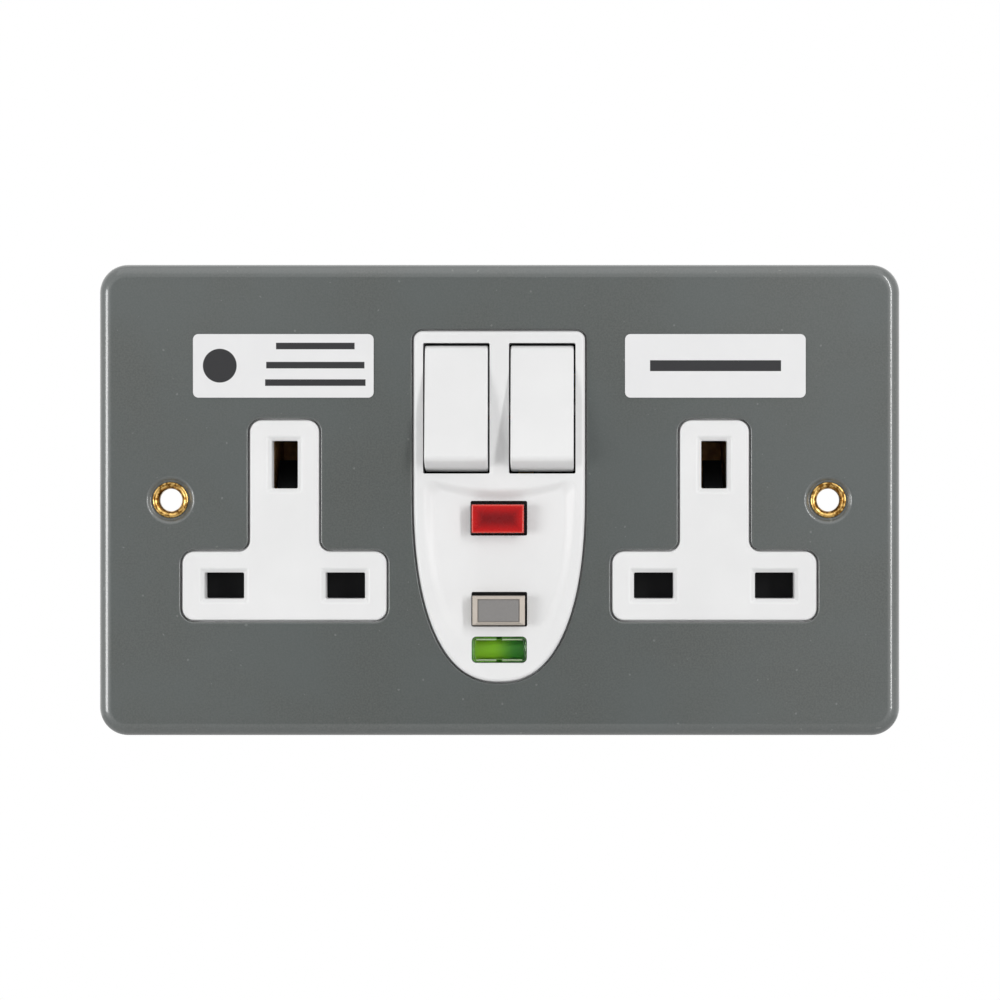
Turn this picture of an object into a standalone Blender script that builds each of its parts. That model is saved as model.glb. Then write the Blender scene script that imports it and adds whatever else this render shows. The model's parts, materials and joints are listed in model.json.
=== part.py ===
"""Double 13 A wall socket with a residual-current trip between the outlets, as separate pieces.

Metres. The front faces -Y, X runs to the right and Z up. Y = 0 is the wall, at the back of the
plate's rim, and the origin lies midway between the two fixing holes.
"""

import math

import bmesh
import bpy
from mathutils import Matrix, Vector

# Clearances
GAP = 0.0003
OVERRUN = 0.001

# Facets
ARC_STEPS = 4
EDGE_STEPS = 3
CURVE_STEPS = 24
SAG_STEPS = 10
BANK_STEPS = 4
ROUND_STEPS = 16
FINE_STEPS = 32
PIN_STEPS = 12
COIL_STEPS = 8
WIRE_SIDES = 4

# Front plate, a pressed steel tray
PLATE_WIDTH = 0.147
PLATE_HEIGHT = 0.0865
PLATE_DEPTH = 0.009
SHEET = 0.0012
PLATE_CORNER = 0.0052
PLATE_BEND = 0.0025
OPENING_ROLL = 0.0005
OPENING_GAP = 0.0003

# Fixing holes and their eyelets
FIXING_SPACING = 0.1206
EYELET_BORE = 0.00415
EYELET_WALL = 0.00035
EYELET_FLANGE = 0.0066
FLANGE_THICKNESS = 0.00045
DIMPLE_WIDTH = 0.0086
DIMPLE_DEPTH = 0.0006
DIMPLE_TAPER = 0.0007

# Socket faces, each a T-shaped island on a base
SOCKET_SPACING = 0.0788
SOCKET_RECESS = 0.0002
STEM_WIDTH = 0.01275
STEM_TOP = 0.01466
FOOT_WIDTH = 0.0375
FOOT_TOP = -0.0094
FOOT_BOTTOM = -0.02208
ISLAND_CORNER = 0.0022
ISLAND_FILLET = 0.002
ISLAND_EDGE = 0.0004
BASE_THICKNESS = 0.002
BASE_LIP = 0.0014
BASE_SIDE = 0.005

# Pin slots, with the standard spacing of the three pins
PIN_SPREAD = 0.0111
PIN_RISE = 0.0222
PIN_LEVEL = -0.0157
POWER_SLOT = (0.00725, 0.0048)
EARTH_SLOT = (0.00475, 0.00875)
SLOT_CORNER = 0.0003
SLOT_LEAD = 0.0008
SLOT_DEPTH = 0.0052
GUIDE_WALL = 0.0012

# Shutters
SHUTTER_THICKNESS = 0.0015
SHUTTER_MARGIN = 0.0003
SHUTTER_STEM = 0.0036
RAMP_DEPTH = 0.005
SHUTTER_SPRING = 0.0012
SHUTTER_GAUGE = 0.00025
SHUTTER_TURNS = 6

# Control panel, a tombstone with straight sides over a superellipse
PANEL_PROUD = 0.0008
PANEL_HALF_WIDTH = 0.01568
PANEL_TOP = 0.03092
PANEL_MIDDLE = 0.00187
PANEL_REACH = 0.03514
PANEL_POWER = 2.4
PANEL_CORNER = 0.0016
PANEL_EDGE = 0.0006
PANEL_WALL = 0.0022
PANEL_SIDE = 0.0014
PANEL_LIP = 0.0016
DISH_MARGIN = 0.0015
DISH_TAPER = 0.04
DISH_TOP = 0.0046
DISH_DEPTH = 0.001
DISH_CORNER = 0.0034
DISH_LEAN = math.radians(20)
DISH_BANK = 0.0016
DISH_END = -0.029

# Rockers
ROCKER_SPREAD = 0.00786
ROCKER_OPENING = (0.0122, 0.02392)
ROCKER_LEVEL = 0.0168
ROCKER_SIDE_GAP = 0.00033
ROCKER_END_GAP = 0.00036
ROCKER_FACE_HALF = 0.01065
ROCKER_HEIGHT = 0.0055
ROCKER_TILT = math.radians(10)
ROCKER_SHOULDER = 0.0019
ROCKER_SKIRT = 0.0015
ROCKER_WALL = 0.0014
ROCKER_EDGE = 0.00035
PIVOT_DEPTH = 0.00387
PIVOT_RADIUS = 0.0012
HUB_RADIUS = 0.0022
WELL_WALL = 0.0014
WELL_DEPTH = 0.0064
STEM_RADIUS = 0.0026
STEM_REACH = 0.0085
PLUNGER_RADIUS = 0.0014
PLUNGER_REACH = 0.0104
PLUNGER_GAUGE = 0.00023
SPRING_TURNS = 4

# Rocking switch blades
BLADE_TILT = math.radians(7)
BLADE_WIDTH = 0.004
BLADE_LENGTH = 0.014
BLADE_THICKNESS = 0.0008
RIDGE_RADIUS = 0.0008
RIVET_RADIUS = 0.0015
RIVET_HEIGHT = 0.0008
RIVET_OFFSET = 0.0055
CONTACT_CLEARANCE = 0.0012

# Test and reset buttons, the lens and the drum behind it
TEST_HOLE = (0.0104, 0.00636)
TEST_LEVEL = -0.00334
TEST_CAP = (0.00955, 0.0052)
TEST_PROUD = 0.0015
TEST_TRAVEL = 0.0015
RESET_HOLE = (0.0102, 0.00635)
RESET_LEVEL = -0.02
RESET_CAP = (0.00956, 0.00535)
RESET_PROUD = 0.0024
RESET_TRAVEL = 0.002
RESET_FRAME = 0.0008
RESET_SUNK = 0.00025
CAP_RIM = 0.0007
CAP_FLANGE = 0.001
CAP_EDGE = 0.0003
BUTTON_STEM = 0.0013
BUTTON_SPRING = 0.0021
BUTTON_GAUGE = 0.00026
LENS_WINDOW = (0.0101, 0.00483)
LENS_LEVEL = -0.0274
LENS_CORNER = 0.0009
LENS_GAP = 0.00012
DRUM_RADIUS = 0.0035
DRUM_HALF = 0.0052
PINION_RADIUS = 0.00159
PINION_WIDTH = 0.001
DRUM_PIN = 0.0009

# Contacts, straps and insulating deck
CLIP_WIDTH = 0.0066
CLIP_OPENING = 0.0042
EARTH_CLIP_HEIGHT = 0.009
STRIP = 0.0006
STRAP_WIDTH = 0.003
DECK_THICKNESS = 0.002
DECK_HEIGHT = 0.0069
SUPPLY_STEP = 0.0018
NEUTRAL_LANE = -0.024
LINE_STRAP_INSET = 0.0029

# Rear housing
HOUSING_BACK = 0.024
HOUSING_WALL = 0.0018
HOUSING_CORNER = 0.003
NOTCH_DEPTH = 0.0042
NOTCH_HEIGHT = 0.015
NOTCH_SHOULDER = 0.003
NOTCH_FILLET = 0.001
PARTITION_PLACE = 0.0176
PARTITION_WALL = 0.0012
PARTITION_DEPTH = 0.008
SCREW_SPREAD = 0.0225
SCREW_INSET = 0.005
SCREW_RADIUS = 0.0015
SCREW_HEAD = (0.0027, 0.0012)
POST_RADIUS = 0.0034
STUD_RADIUS = 0.0026
STUD_LENGTH = 0.0058

# Mechanism between the outlets
FRAME_FRONT = 0.0
FRAME_THICKNESS = 0.0015
FRAME_TOP = 0.002
BOARD_THICKNESS = 0.0016
BOARD_HALF_WIDTH = 0.015
BOARD_BOTTOM = -0.0115
CARRIAGE_HALF = 0.009
CARRIAGE_HEIGHT = 0.005
CARRIAGE_DEPTH = 0.0042
CARRIAGE_LEVEL = -0.022
CARRIAGE_TRAVEL = 0.0025
CARRIAGE_CLEARANCE = 0.001
BRIDGE_SPREAD = 0.0045
BRIDGE_HALF_SPAN = 0.005
GUIDE_SPREAD = 0.0073
GUIDE_RADIUS = 0.0009
TOROID_LEVEL = -0.0055
TOROID_INNER = 0.0035
TOROID_OUTER = 0.006
TOROID_HEIGHT = 0.0048
WINDING_TURNS = 14
WINDING_WIRE = 0.00025
WINDING_SWEEP = math.radians(320)
LEG_SPREAD = 0.0012
LEG_SIDE = 0.0012
COIL_PLACE = -0.0115
COIL_RADIUS = 0.0036
COIL_LENGTH = 0.012
TRIP_RADIUS = 0.001
LEVER_WIDTH = 0.0014
LEVER_ARM = 0.001
LEVER_LENGTH = 0.006
LEVER_HUB = 0.0013
LEVER_PIN = 0.0005

# Supply terminals
TERMINAL_PLACES = {"line": -0.030, "neutral": -0.039, "earth": -0.048}
TERMINAL_SIZE = (0.007, 0.008, 0.0084)
CABLE_BORE = 0.0021
CABLE_FLOOR = 0.0018
TERMINAL_SCREW = 0.0018
TERMINAL_COLLAR = 0.0024
SUPPLY_LANES = {"line": -0.017, "neutral": -0.022}
SUPPLY_POST = 0.001

# Labels
LABEL_SIZE = (0.0331, 0.01165)
LABEL_PLACE = (0.03957, 0.02457)
LABEL_THICKNESS = 0.00015
LABEL_GAP = 0.00005
LABEL_CORNER = 0.001

# Levels along Y, from the front to the back
FRONT = -PLATE_DEPTH
INNER = FRONT + SHEET
BASE_FRONT = INNER + GAP
BASE_BACK = BASE_FRONT + BASE_THICKNESS
ISLAND_FACE = FRONT + SOCKET_RECESS
GUIDE_BACK = ISLAND_FACE + SLOT_DEPTH
SHUTTER_FRONT = GUIDE_BACK + GAP
SHUTTER_BACK = SHUTTER_FRONT + SHUTTER_THICKNESS
PANEL_FACE = FRONT - PANEL_PROUD
PANEL_INSIDE = PANEL_FACE + PANEL_WALL
HOUSING_FRONT = BASE_BACK + GAP
FLOOR = HOUSING_BACK - HOUSING_WALL
DECK_BACK = FLOOR - DECK_HEIGHT
DECK_FRONT = DECK_BACK - DECK_THICKNESS
STRAP_BACK = DECK_FRONT - GAP
STRAP_FRONT = STRAP_BACK - STRIP
EARTH_STRAP_FRONT = DECK_BACK + GAP
SUPPLY_FRONT = EARTH_STRAP_FRONT + STRIP + SUPPLY_STEP
PIVOT_Y = PANEL_FACE + PIVOT_DEPTH
RIDGE_Y = PIVOT_Y + PLUNGER_REACH + GAP + BLADE_THICKNESS + GAP + RIDGE_RADIUS
FIXED_RIVET_FRONT = RIDGE_Y + CONTACT_CLEARANCE - GAP
LINE_STRAP_FRONT = FIXED_RIVET_FRONT + RIVET_HEIGHT
FRAME_BACK = FRAME_FRONT + FRAME_THICKNESS
BOARD_FRONT = FRAME_BACK + GAP
BOARD_BACK = BOARD_FRONT + BOARD_THICKNESS
CARRIAGE_FRONT = BOARD_FRONT + CARRIAGE_CLEARANCE
CARRIAGE_BACK = CARRIAGE_FRONT + CARRIAGE_DEPTH
BRIDGE_FRONT = CARRIAGE_BACK + GAP
PAD_FRONT = BRIDGE_FRONT + BLADE_THICKNESS + CARRIAGE_TRAVEL + 3 * GAP
LEVER_Y = BOARD_BACK + LEVER_ARM / 2
EARTH_LEVEL = PIN_LEVEL + PIN_RISE
GUIDE_SIDE = SOCKET_SPACING / 2 + PIN_SPREAD + POWER_SLOT[0] / 2 + GUIDE_WALL
HOUSING_WIDTH = 2 * (GUIDE_SIDE + GAP + HOUSING_WALL)
HOUSING_HEIGHT = 2 * (DRUM_RADIUS + GAP + HOUSING_WALL - LENS_LEVEL)
LEVER_LEVEL = BOARD_BOTTOM - 2 * LEVER_ARM
TERMINAL_LOW = HOUSING_HEIGHT / 2 - HOUSING_WALL - GAP - TERMINAL_SIZE[2]
DRUM_Y = PANEL_INSIDE + GAP + CAP_FLANGE + GAP + DRUM_RADIUS
SIDES = {"left": -1, "right": 1}


# Materials

def finish(name, colour, roughness, metallic=0.0, alpha=1.0):
    material = bpy.data.materials.new(name)
    material.use_nodes = True
    shader = material.node_tree.nodes["Principled BSDF"]
    shader.inputs["Base Color"].default_value = (*colour, 1)
    shader.inputs["Roughness"].default_value = roughness
    shader.inputs["Metallic"].default_value = metallic
    shader.inputs["Alpha"].default_value = alpha
    material.diffuse_color = (*colour, 1)
    return material


# Outlines, as points and outward normals in X and Z, anticlockwise from the front

def rounded(corners):
    """A polygon of (x, z, radius) corners, convex or not, with an arc at each one."""
    outline = []
    for index, (x, z, radius) in enumerate(corners):
        here = Vector((x, z))
        before = (here - Vector(corners[index - 1][:2])).normalized()
        after = (Vector(corners[(index + 1) % len(corners)][:2]) - here).normalized()
        start = Vector((before.y, -before.x))
        end = Vector((after.y, -after.x))
        turn = math.copysign(1, before.cross(after))
        centre = here - turn * radius * (start + end) / (1 + start.dot(end))
        first = math.atan2(start.y, start.x)
        sweep = turn * start.angle(end)
        for step in range(ARC_STEPS + 1):
            angle = first + sweep * step / ARC_STEPS
            normal = Vector((math.cos(angle), math.sin(angle)))
            outline.append((centre + turn * radius * normal, normal))
    return outline


def rectangle(x, z, width, height, corner):
    right, top = width / 2, height / 2
    places = ((-right, -top), (right, -top), (right, top), (-right, top))
    return rounded([(x + across, z + up, corner) for across, up in places])


def tee(x, stem, foot, top, step, bottom, corner, fillet):
    """An upside-down T: a stem of half width stem on a foot of half width foot."""
    return rounded([
        (x - foot, bottom, corner), (x + foot, bottom, corner),
        (x + foot, step, corner), (x + stem, step, fillet),
        (x + stem, top, corner), (x - stem, top, corner),
        (x - stem, step, fillet), (x - foot, step, corner),
    ])


def signed_power(value, power):
    return math.copysign(abs(value) ** power, value)


def tombstone(top, corner, lean=0.0):
    """The control panel: a superellipse below, straight sides and two rounded top corners.

    With a lean, the top sags between its corners as an arc that sets off at that slope.
    """
    outline = []
    for step in range(CURVE_STEPS + 1):
        angle = math.pi * (1 + step / CURVE_STEPS)
        across = signed_power(math.cos(angle), 2 / PANEL_POWER)
        down = signed_power(math.sin(angle), 2 / PANEL_POWER)
        normal = Vector((
            signed_power(across, PANEL_POWER - 1) / PANEL_HALF_WIDTH,
            signed_power(down, PANEL_POWER - 1) / PANEL_REACH,
        )).normalized()
        point = Vector((PANEL_HALF_WIDTH * across, PANEL_MIDDLE + PANEL_REACH * down))
        outline.append((point, normal))
    corners = []
    for side, first in ((1, 0.0), (-1, math.pi / 2 - lean)):
        centre = Vector((side * (PANEL_HALF_WIDTH - corner), top - corner))
        for step in range(ARC_STEPS + 1):
            angle = first + (math.pi / 2 + lean) * step / ARC_STEPS
            normal = Vector((math.cos(angle), math.sin(angle)))
            corners.append((centre + corner * normal, normal))
    right, left = corners[:ARC_STEPS + 1], corners[ARC_STEPS + 1:]
    return outline + right + sag(*right[-1], lean) + left


def sag(start, normal, lean):
    """The arc from a point to its mirror image across X = 0, without its two ends."""
    if not lean:
        return []
    radius = start.x / math.sin(lean)
    centre = start + radius * normal
    arc = []
    for step in range(1, SAG_STEPS):
        angle = math.pi / 2 + lean * (1 - 2 * step / SAG_STEPS)
        normal = Vector((math.cos(angle), math.sin(angle)))
        arc.append((centre - radius * normal, normal))
    return arc


# Shapes

def place(axis, first, second, along):
    """A point from its place along an axis and its other two coordinates in X, Y, Z order."""
    places = {
        "X": (along, first, second), "Y": (first, along, second), "Z": (first, second, along),
    }
    return Vector(places[axis])


def loft(rings, closed=False):
    """Skins a stack of equal rings, and caps both ends unless the stack closes on itself."""
    mesh = bmesh.new()
    rows = [[mesh.verts.new(point) for point in ring] for ring in rings]
    pairs = list(zip(rows, rows[1:]))
    if closed:
        pairs.append((rows[-1], rows[0]))
    for low, high in pairs:
        for index, vertex in enumerate(low):
            following = (index + 1) % len(low)
            mesh.faces.new((vertex, low[following], high[following], high[index]))
    if not closed:
        mesh.faces.new(reversed(rows[0]))
        mesh.faces.new(rows[-1])
    bmesh.ops.recalc_face_normals(mesh, faces=mesh.faces)
    return mesh


def level(outline, offset, depth):
    """The outline grown by offset, at the depth given along Y."""
    grown = [point + offset * normal for point, normal in outline]
    return [Vector((point.x, depth, point.y)) for point in grown]


def slab(outline, front, back, offset=0.0):
    return loft([level(outline, offset, front), level(outline, offset, back)])


def quarter(outline, front, radius, offset=0.0, outward=-1):
    """Levels of a rounded front edge; outward is 1 where the shape is a hole's rolled edge."""
    rings = []
    for step in range(EDGE_STEPS + 1):
        angle = math.pi / 2 * step / EDGE_STEPS
        inset = radius * (1 - math.sin(angle))
        rings.append(level(outline, offset + outward * inset, front + radius * (1 - math.cos(angle))))
    return rings


def rolled_cutter(outline, gap):
    """The hole that a press leaves in the plate, its front edge rolled inwards."""
    rings = [level(outline, gap + OPENING_ROLL, FRONT - OVERRUN)]
    rings += quarter(outline, FRONT, OPENING_ROLL, gap, 1)
    rings.append(level(outline, gap, INNER + OVERRUN))
    return loft(rings)


def prism(points, low, high, axis):
    return loft([[place(axis, a, b, along) for a, b in points] for along in (low, high)])


def box(low, high):
    mesh = bmesh.new()
    low, high = Vector(low), Vector(high)
    bmesh.ops.create_cube(mesh, size=1, matrix=Matrix.LocRotScale((low + high) / 2, None, high - low))
    return mesh


def turned(profile, axis, first, second, hollow=False, steps=ROUND_STEPS):
    """A turned shape from its (radius, place along the axis) profile; hollow profiles are loops."""
    rings = []
    for radius, along in profile:
        angles = [2 * math.pi * step / steps for step in range(steps)]
        rings.append([
            place(axis, first + radius * math.cos(a), second + radius * math.sin(a), along)
            for a in angles
        ])
    return loft(rings, hollow)


def rod(radius, low, high, axis, first, second, steps=ROUND_STEPS):
    return turned([(radius, low), (radius, high)], axis, first, second, steps=steps)


def wire(points, radius, sides=WIRE_SIDES):
    """A round wire along a path, its section carried along without twisting."""
    rings = []
    across = None
    for index, point in enumerate(points):
        ahead = points[min(index + 1, len(points) - 1)] - points[max(index - 1, 0)]
        ahead.normalize()
        across = (ahead.orthogonal() if across is None else across - ahead * across.dot(ahead))
        across.normalize()
        beside = ahead.cross(across)
        angles = [2 * math.pi * side / sides for side in range(sides)]
        rings.append([point + radius * (math.cos(a) * across + math.sin(a) * beside) for a in angles])
    return loft(rings)


def spring(radius, gauge, turns, low, high, axis, first, second):
    """A compression spring between two seats along an axis."""
    points = []
    count = turns * COIL_STEPS
    for step in range(count + 1):
        angle = 2 * math.pi * step / COIL_STEPS
        along = low + gauge + (high - low - 2 * gauge) * step / count
        points.append(place(
            axis, first + radius * math.cos(angle), second + radius * math.sin(angle), along
        ))
    return wire(points, gauge)


def soften(mesh, width, steps=1, sharper=math.radians(50)):
    """Rounds every edge of a shape that turns sharply."""
    edges = [edge for edge in mesh.edges if edge.calc_face_angle(0) > sharper]
    bmesh.ops.bevel(
        mesh, geom=edges, offset=width, segments=steps, profile=0.5, affect="EDGES", clamp_overlap=True
    )
    return mesh


class Piece:
    """One solid of the object, with the shapes that are joined to it or cut from it."""

    def __init__(self, name, mesh, material, pivot=(0, 0, 0), carrier=None):
        self.pivot = Vector(pivot)
        self.object = self.make(name, mesh)
        self.object.data.materials.append(material)
        self.object.parent = carrier.object if carrier else None
        self.object.location = (0, 0, 0) if carrier else self.pivot

    def make(self, name, mesh):
        mesh.transform(Matrix.Translation(-self.pivot))
        data = bpy.data.meshes.new(name)
        mesh.to_mesh(data)
        mesh.free()
        data.shade_smooth()
        data.set_sharp_from_angle(angle=math.radians(30))
        made = bpy.data.objects.new(name, data)
        bpy.context.scene.collection.objects.link(made)
        return made

    def combine(self, mesh, operation):
        count = len(self.object.modifiers) + 1
        tool = self.make(f"{self.object.name}_{operation.lower()}_{count}", mesh)
        tool.parent = self.object
        tool.hide_render = True
        tool.display_type = "WIRE"
        modifier = self.object.modifiers.new(tool.name, "BOOLEAN")
        modifier.operation = operation
        modifier.object = tool
        return self

    def add(self, mesh):
        return self.combine(mesh, "UNION")

    def cut(self, mesh):
        return self.combine(mesh, "DIFFERENCE")

    def turn(self, angle):
        """Turns the piece about the X axis through its pivot."""
        self.object.rotation_euler.x = angle
        return self


def island(x):
    return tee(
        x, STEM_WIDTH / 2, FOOT_WIDTH / 2, STEM_TOP, FOOT_TOP, FOOT_BOTTOM, ISLAND_CORNER, ISLAND_FILLET
    )


def screw_places():
    """Where the four housing screws go, as X and Z."""
    up = HOUSING_HEIGHT / 2 - SCREW_INSET
    return [(side * SCREW_SPREAD, end * up) for side in (-1, 1) for end in (-1, 1)]


def pin_slots(x):
    """Each pin slot of an outlet as (x, z, width, height)."""
    power = [(x + side * PIN_SPREAD, PIN_LEVEL, *POWER_SLOT) for side in (-1, 1)]
    return [*power, (x, EARTH_LEVEL, *EARTH_SLOT)]


# Front plate

def front_plate(steel):
    """The tray is drawn from one sheet, so its bend is concentric inside and out."""
    outline = rectangle(0, 0, PLATE_WIDTH, PLATE_HEIGHT, PLATE_CORNER)
    outer = quarter(outline, FRONT, PLATE_BEND) + [level(outline, 0, 0)]
    plate = Piece("front_plate", loft(outer), steel)
    inner = quarter(outline, INNER, PLATE_BEND - SHEET, -SHEET)
    plate.cut(loft(inner + [level(outline, -SHEET, OVERRUN)]))
    for side in SIDES.values():
        x = side * FIXING_SPACING / 2
        floor_radius = DIMPLE_WIDTH / 2 - DIMPLE_TAPER
        plate.add(turned([
            (DIMPLE_WIDTH / 2 + SHEET / 2, INNER - SHEET / 2),
            (DIMPLE_WIDTH / 2 + SHEET / 2, INNER),
            (floor_radius + SHEET / 2, INNER + DIMPLE_DEPTH),
        ], "Y", x, 0))
        plate.cut(turned([
            (DIMPLE_WIDTH / 2 + OVERRUN, FRONT - OVERRUN),
            (DIMPLE_WIDTH / 2, FRONT),
            (floor_radius, FRONT + DIMPLE_DEPTH),
        ], "Y", x, 0))
        hole = EYELET_BORE / 2 + EYELET_WALL + GAP
        plate.cut(rod(hole, FRONT, 0, "Y", x, 0))
        plate.cut(rolled_cutter(island(side * SOCKET_SPACING / 2), OPENING_GAP))
    for x, z in screw_places():
        plate.add(rod(STUD_RADIUS, INNER - SHEET / 2, INNER + STUD_LENGTH, "Y", x, z))
        plate.cut(rod(SCREW_RADIUS + GAP, INNER, INNER + STUD_LENGTH + OVERRUN, "Y", x, z))
    plate.cut(rolled_cutter(tombstone(PANEL_TOP, PANEL_CORNER), OPENING_GAP))


def eyelet(name, x, brass):
    """A rolled tube: a flange in the dimple, a barrel through the hole and a curl behind."""
    bore = EYELET_BORE / 2
    barrel = bore + EYELET_WALL
    flange = EYELET_FLANGE / 2
    seat = FRONT + DIMPLE_DEPTH - GAP / 3
    face = seat - FLANGE_THICKNESS
    bump = INNER + DIMPLE_DEPTH + GAP
    curl = FLANGE_THICKNESS
    Piece(name, turned([
        (bore, face + curl), (bore + curl / 3, face + curl / 4), (barrel + curl / 3, face),
        (flange - curl / 2, face), (flange, face + curl / 2), (flange, seat),
        (barrel, seat), (barrel, bump), (flange - curl, bump),
        (flange - curl, bump + curl / 2), (barrel, bump + curl), (bore, bump + curl),
    ], "Y", x, 0, hollow=True), brass)


# Outlets

def socket_face(name, x, white):
    """The island fills its opening in the plate; a wider base behind keeps it there."""
    outline = island(x)
    rings = quarter(outline, ISLAND_FACE, ISLAND_EDGE)
    face = Piece(name, loft(rings + [level(outline, 0, BASE_FRONT + BASE_THICKNESS / 2)]), white)
    base = tee(
        x, STEM_WIDTH / 2 + BASE_SIDE, FOOT_WIDTH / 2 + BASE_LIP, STEM_TOP + BASE_LIP,
        FOOT_TOP + BASE_LIP, FOOT_BOTTOM - BASE_LIP, ISLAND_CORNER, ISLAND_FILLET / 2,
    )
    face.add(slab(base, BASE_FRONT, BASE_BACK))
    for slot_x, slot_z, width, height in pin_slots(x):
        slot = rectangle(slot_x, slot_z, width, height, SLOT_CORNER)
        lead = 2 * (SLOT_LEAD + OVERRUN)
        mouth = rectangle(slot_x, slot_z, width + lead, height + lead, SLOT_CORNER)
        face.add(slab(slot, BASE_BACK - BASE_THICKNESS / 2, GUIDE_BACK, GUIDE_WALL))
        face.cut(loft([
            level(mouth, 0, ISLAND_FACE - OVERRUN),
            level(slot, 0, ISLAND_FACE + SLOT_LEAD),
            level(slot, 0, GUIDE_BACK + OVERRUN),
        ]))


def shutter(name, x, black):
    """One blade closes both power slots; the earth pin pushes its ramp, and so the blade, down."""
    reach = PIN_SPREAD + POWER_SLOT[0] / 2 + SHUTTER_MARGIN
    top = PIN_LEVEL + POWER_SLOT[1] / 2 + SHUTTER_MARGIN
    bottom = PIN_LEVEL - POWER_SLOT[1] / 2 - SHUTTER_MARGIN
    ramp = EARTH_LEVEL - EARTH_SLOT[1] / 2 + SHUTTER_MARGIN
    half = SHUTTER_STEM / 2
    blade = Piece(name, box((x - reach, SHUTTER_FRONT, bottom), (x + reach, SHUTTER_BACK, top)), black)
    blade.add(box((x - half, SHUTTER_FRONT, top - OVERRUN), (x + half, SHUTTER_BACK, ramp)))
    blade.add(prism([
        (SHUTTER_FRONT, ramp - OVERRUN), (SHUTTER_FRONT + RAMP_DEPTH, ramp - OVERRUN),
        (SHUTTER_FRONT + RAMP_DEPTH, ramp + RAMP_DEPTH), (SHUTTER_FRONT, ramp),
    ], x - half, x + half, "X"))


def shutter_spring(name, x, steel):
    top = PIN_LEVEL - POWER_SLOT[1] / 2 - SHUTTER_MARGIN - GAP
    bottom = GAP + HOUSING_WALL - HOUSING_HEIGHT / 2
    middle = (SHUTTER_FRONT + SHUTTER_BACK) / 2
    Piece(name, spring(SHUTTER_SPRING, SHUTTER_GAUGE, SHUTTER_TURNS, bottom, top, "Z", x, middle), steel)


def clip(name, x, z, front, brass, lengthways):
    """Two leaves on a base grip a flat pin; lengthways clips stand on edge."""
    half_gap = CLIP_OPENING / 2
    outer = half_gap + STRIP
    width = (EARTH_CLIP_HEIGHT if lengthways else CLIP_WIDTH) / 2
    extents = (outer, width) if lengthways else (width, outer)
    made = Piece(name, box(
        (x - extents[0], STRAP_FRONT, z - extents[1]), (x + extents[0], STRAP_BACK, z + extents[1])
    ), brass)
    for side in (-1, 1):
        low, high = sorted((side * half_gap, side * outer))
        spread = side * STRIP
        leaf = [
            (low, STRAP_FRONT + STRIP / 2), (high, STRAP_FRONT + STRIP / 2),
            (high, front + 2 * STRIP), (high + spread, front),
            (low + spread, front), (low, front + 2 * STRIP),
        ]
        if lengthways:
            shape = prism([(x + a, y) for a, y in leaf], z - width, z + width, "Z")
        else:
            shape = prism([(y, z + a) for a, y in leaf], x - width, x + width, "X")
        made.add(shape)
    return made


def earth_contact(name, x, brass):
    front = SHUTTER_FRONT + RAMP_DEPTH + GAP
    contact = clip(name, x, EARTH_LEVEL, front, brass, True)
    half = STRAP_WIDTH / 2
    contact.add(box(
        (x - half, STRAP_FRONT + STRIP / 2, EARTH_LEVEL - half),
        (x + half, DECK_BACK, EARTH_LEVEL + half),
    ))


def line_contact(name, x, side, brass):
    """The clip, the strap that climbs beside the earth contact, and the fixed switch contact."""
    contact = clip(name, x, PIN_LEVEL, SHUTTER_BACK + GAP, brass, False)
    lane = x - math.copysign(LINE_STRAP_INSET, x)
    half = STRAP_WIDTH / 2
    rivet_level = ROCKER_LEVEL + RIVET_OFFSET
    rivet_place = side * ROCKER_SPREAD
    back = LINE_STRAP_FRONT + STRIP
    leaf = PIN_LEVEL + CLIP_OPENING / 2
    contact.add(box(
        (lane - half, LINE_STRAP_FRONT, leaf + STRIP / 3), (lane + half, back, rivet_level + half)
    ))
    near, far = sorted((lane + side * half, rivet_place - side * half))
    contact.add(box(
        (near, LINE_STRAP_FRONT, rivet_level - half), (far, back, rivet_level + half)
    ))
    contact.add(rod(
        RIVET_RADIUS, FIXED_RIVET_FRONT, LINE_STRAP_FRONT + STRIP / 2, "Y", rivet_place, rivet_level
    ))


# Control panel and what moves in it

def control_panel(white):
    outline = tombstone(PANEL_TOP, PANEL_CORNER)
    rings = quarter(outline, PANEL_FACE, PANEL_EDGE) + [level(outline, 0, BASE_BACK)]
    panel = Piece("control_panel", loft(rings), white)
    panel.add(slab(outline, BASE_FRONT, BASE_BACK, PANEL_LIP))
    panel.cut(slab(outline, PANEL_INSIDE, BASE_BACK + OVERRUN, -PANEL_SIDE))
    panel.cut(dish())
    width = ROCKER_SPREAD + ROCKER_OPENING[0] / 2 + WELL_WALL
    height = ROCKER_OPENING[1] / 2 + WELL_WALL
    panel.add(box(
        (-width, PANEL_INSIDE - OVERRUN, ROCKER_LEVEL - height),
        (width, PANEL_FACE + WELL_DEPTH, ROCKER_LEVEL + height),
    ))
    back = PANEL_FACE + WELL_DEPTH + OVERRUN
    for side in SIDES.values():
        x = side * ROCKER_SPREAD
        opening = rectangle(x, ROCKER_LEVEL, *ROCKER_OPENING, SLOT_CORNER)
        panel.cut(slab(opening, PANEL_FACE - OVERRUN, back))
    panel.cut(rod(PIVOT_RADIUS + GAP, -width - OVERRUN, width + OVERRUN, "X", PIVOT_Y, ROCKER_LEVEL))
    for hole, z, corner in (
        (TEST_HOLE, TEST_LEVEL, SLOT_CORNER),
        (RESET_HOLE, RESET_LEVEL, SLOT_CORNER),
        (LENS_WINDOW, LENS_LEVEL, LENS_CORNER),
    ):
        panel.cut(slab(rectangle(0, z, *hole, corner), PANEL_FACE - OVERRUN, back))


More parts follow.
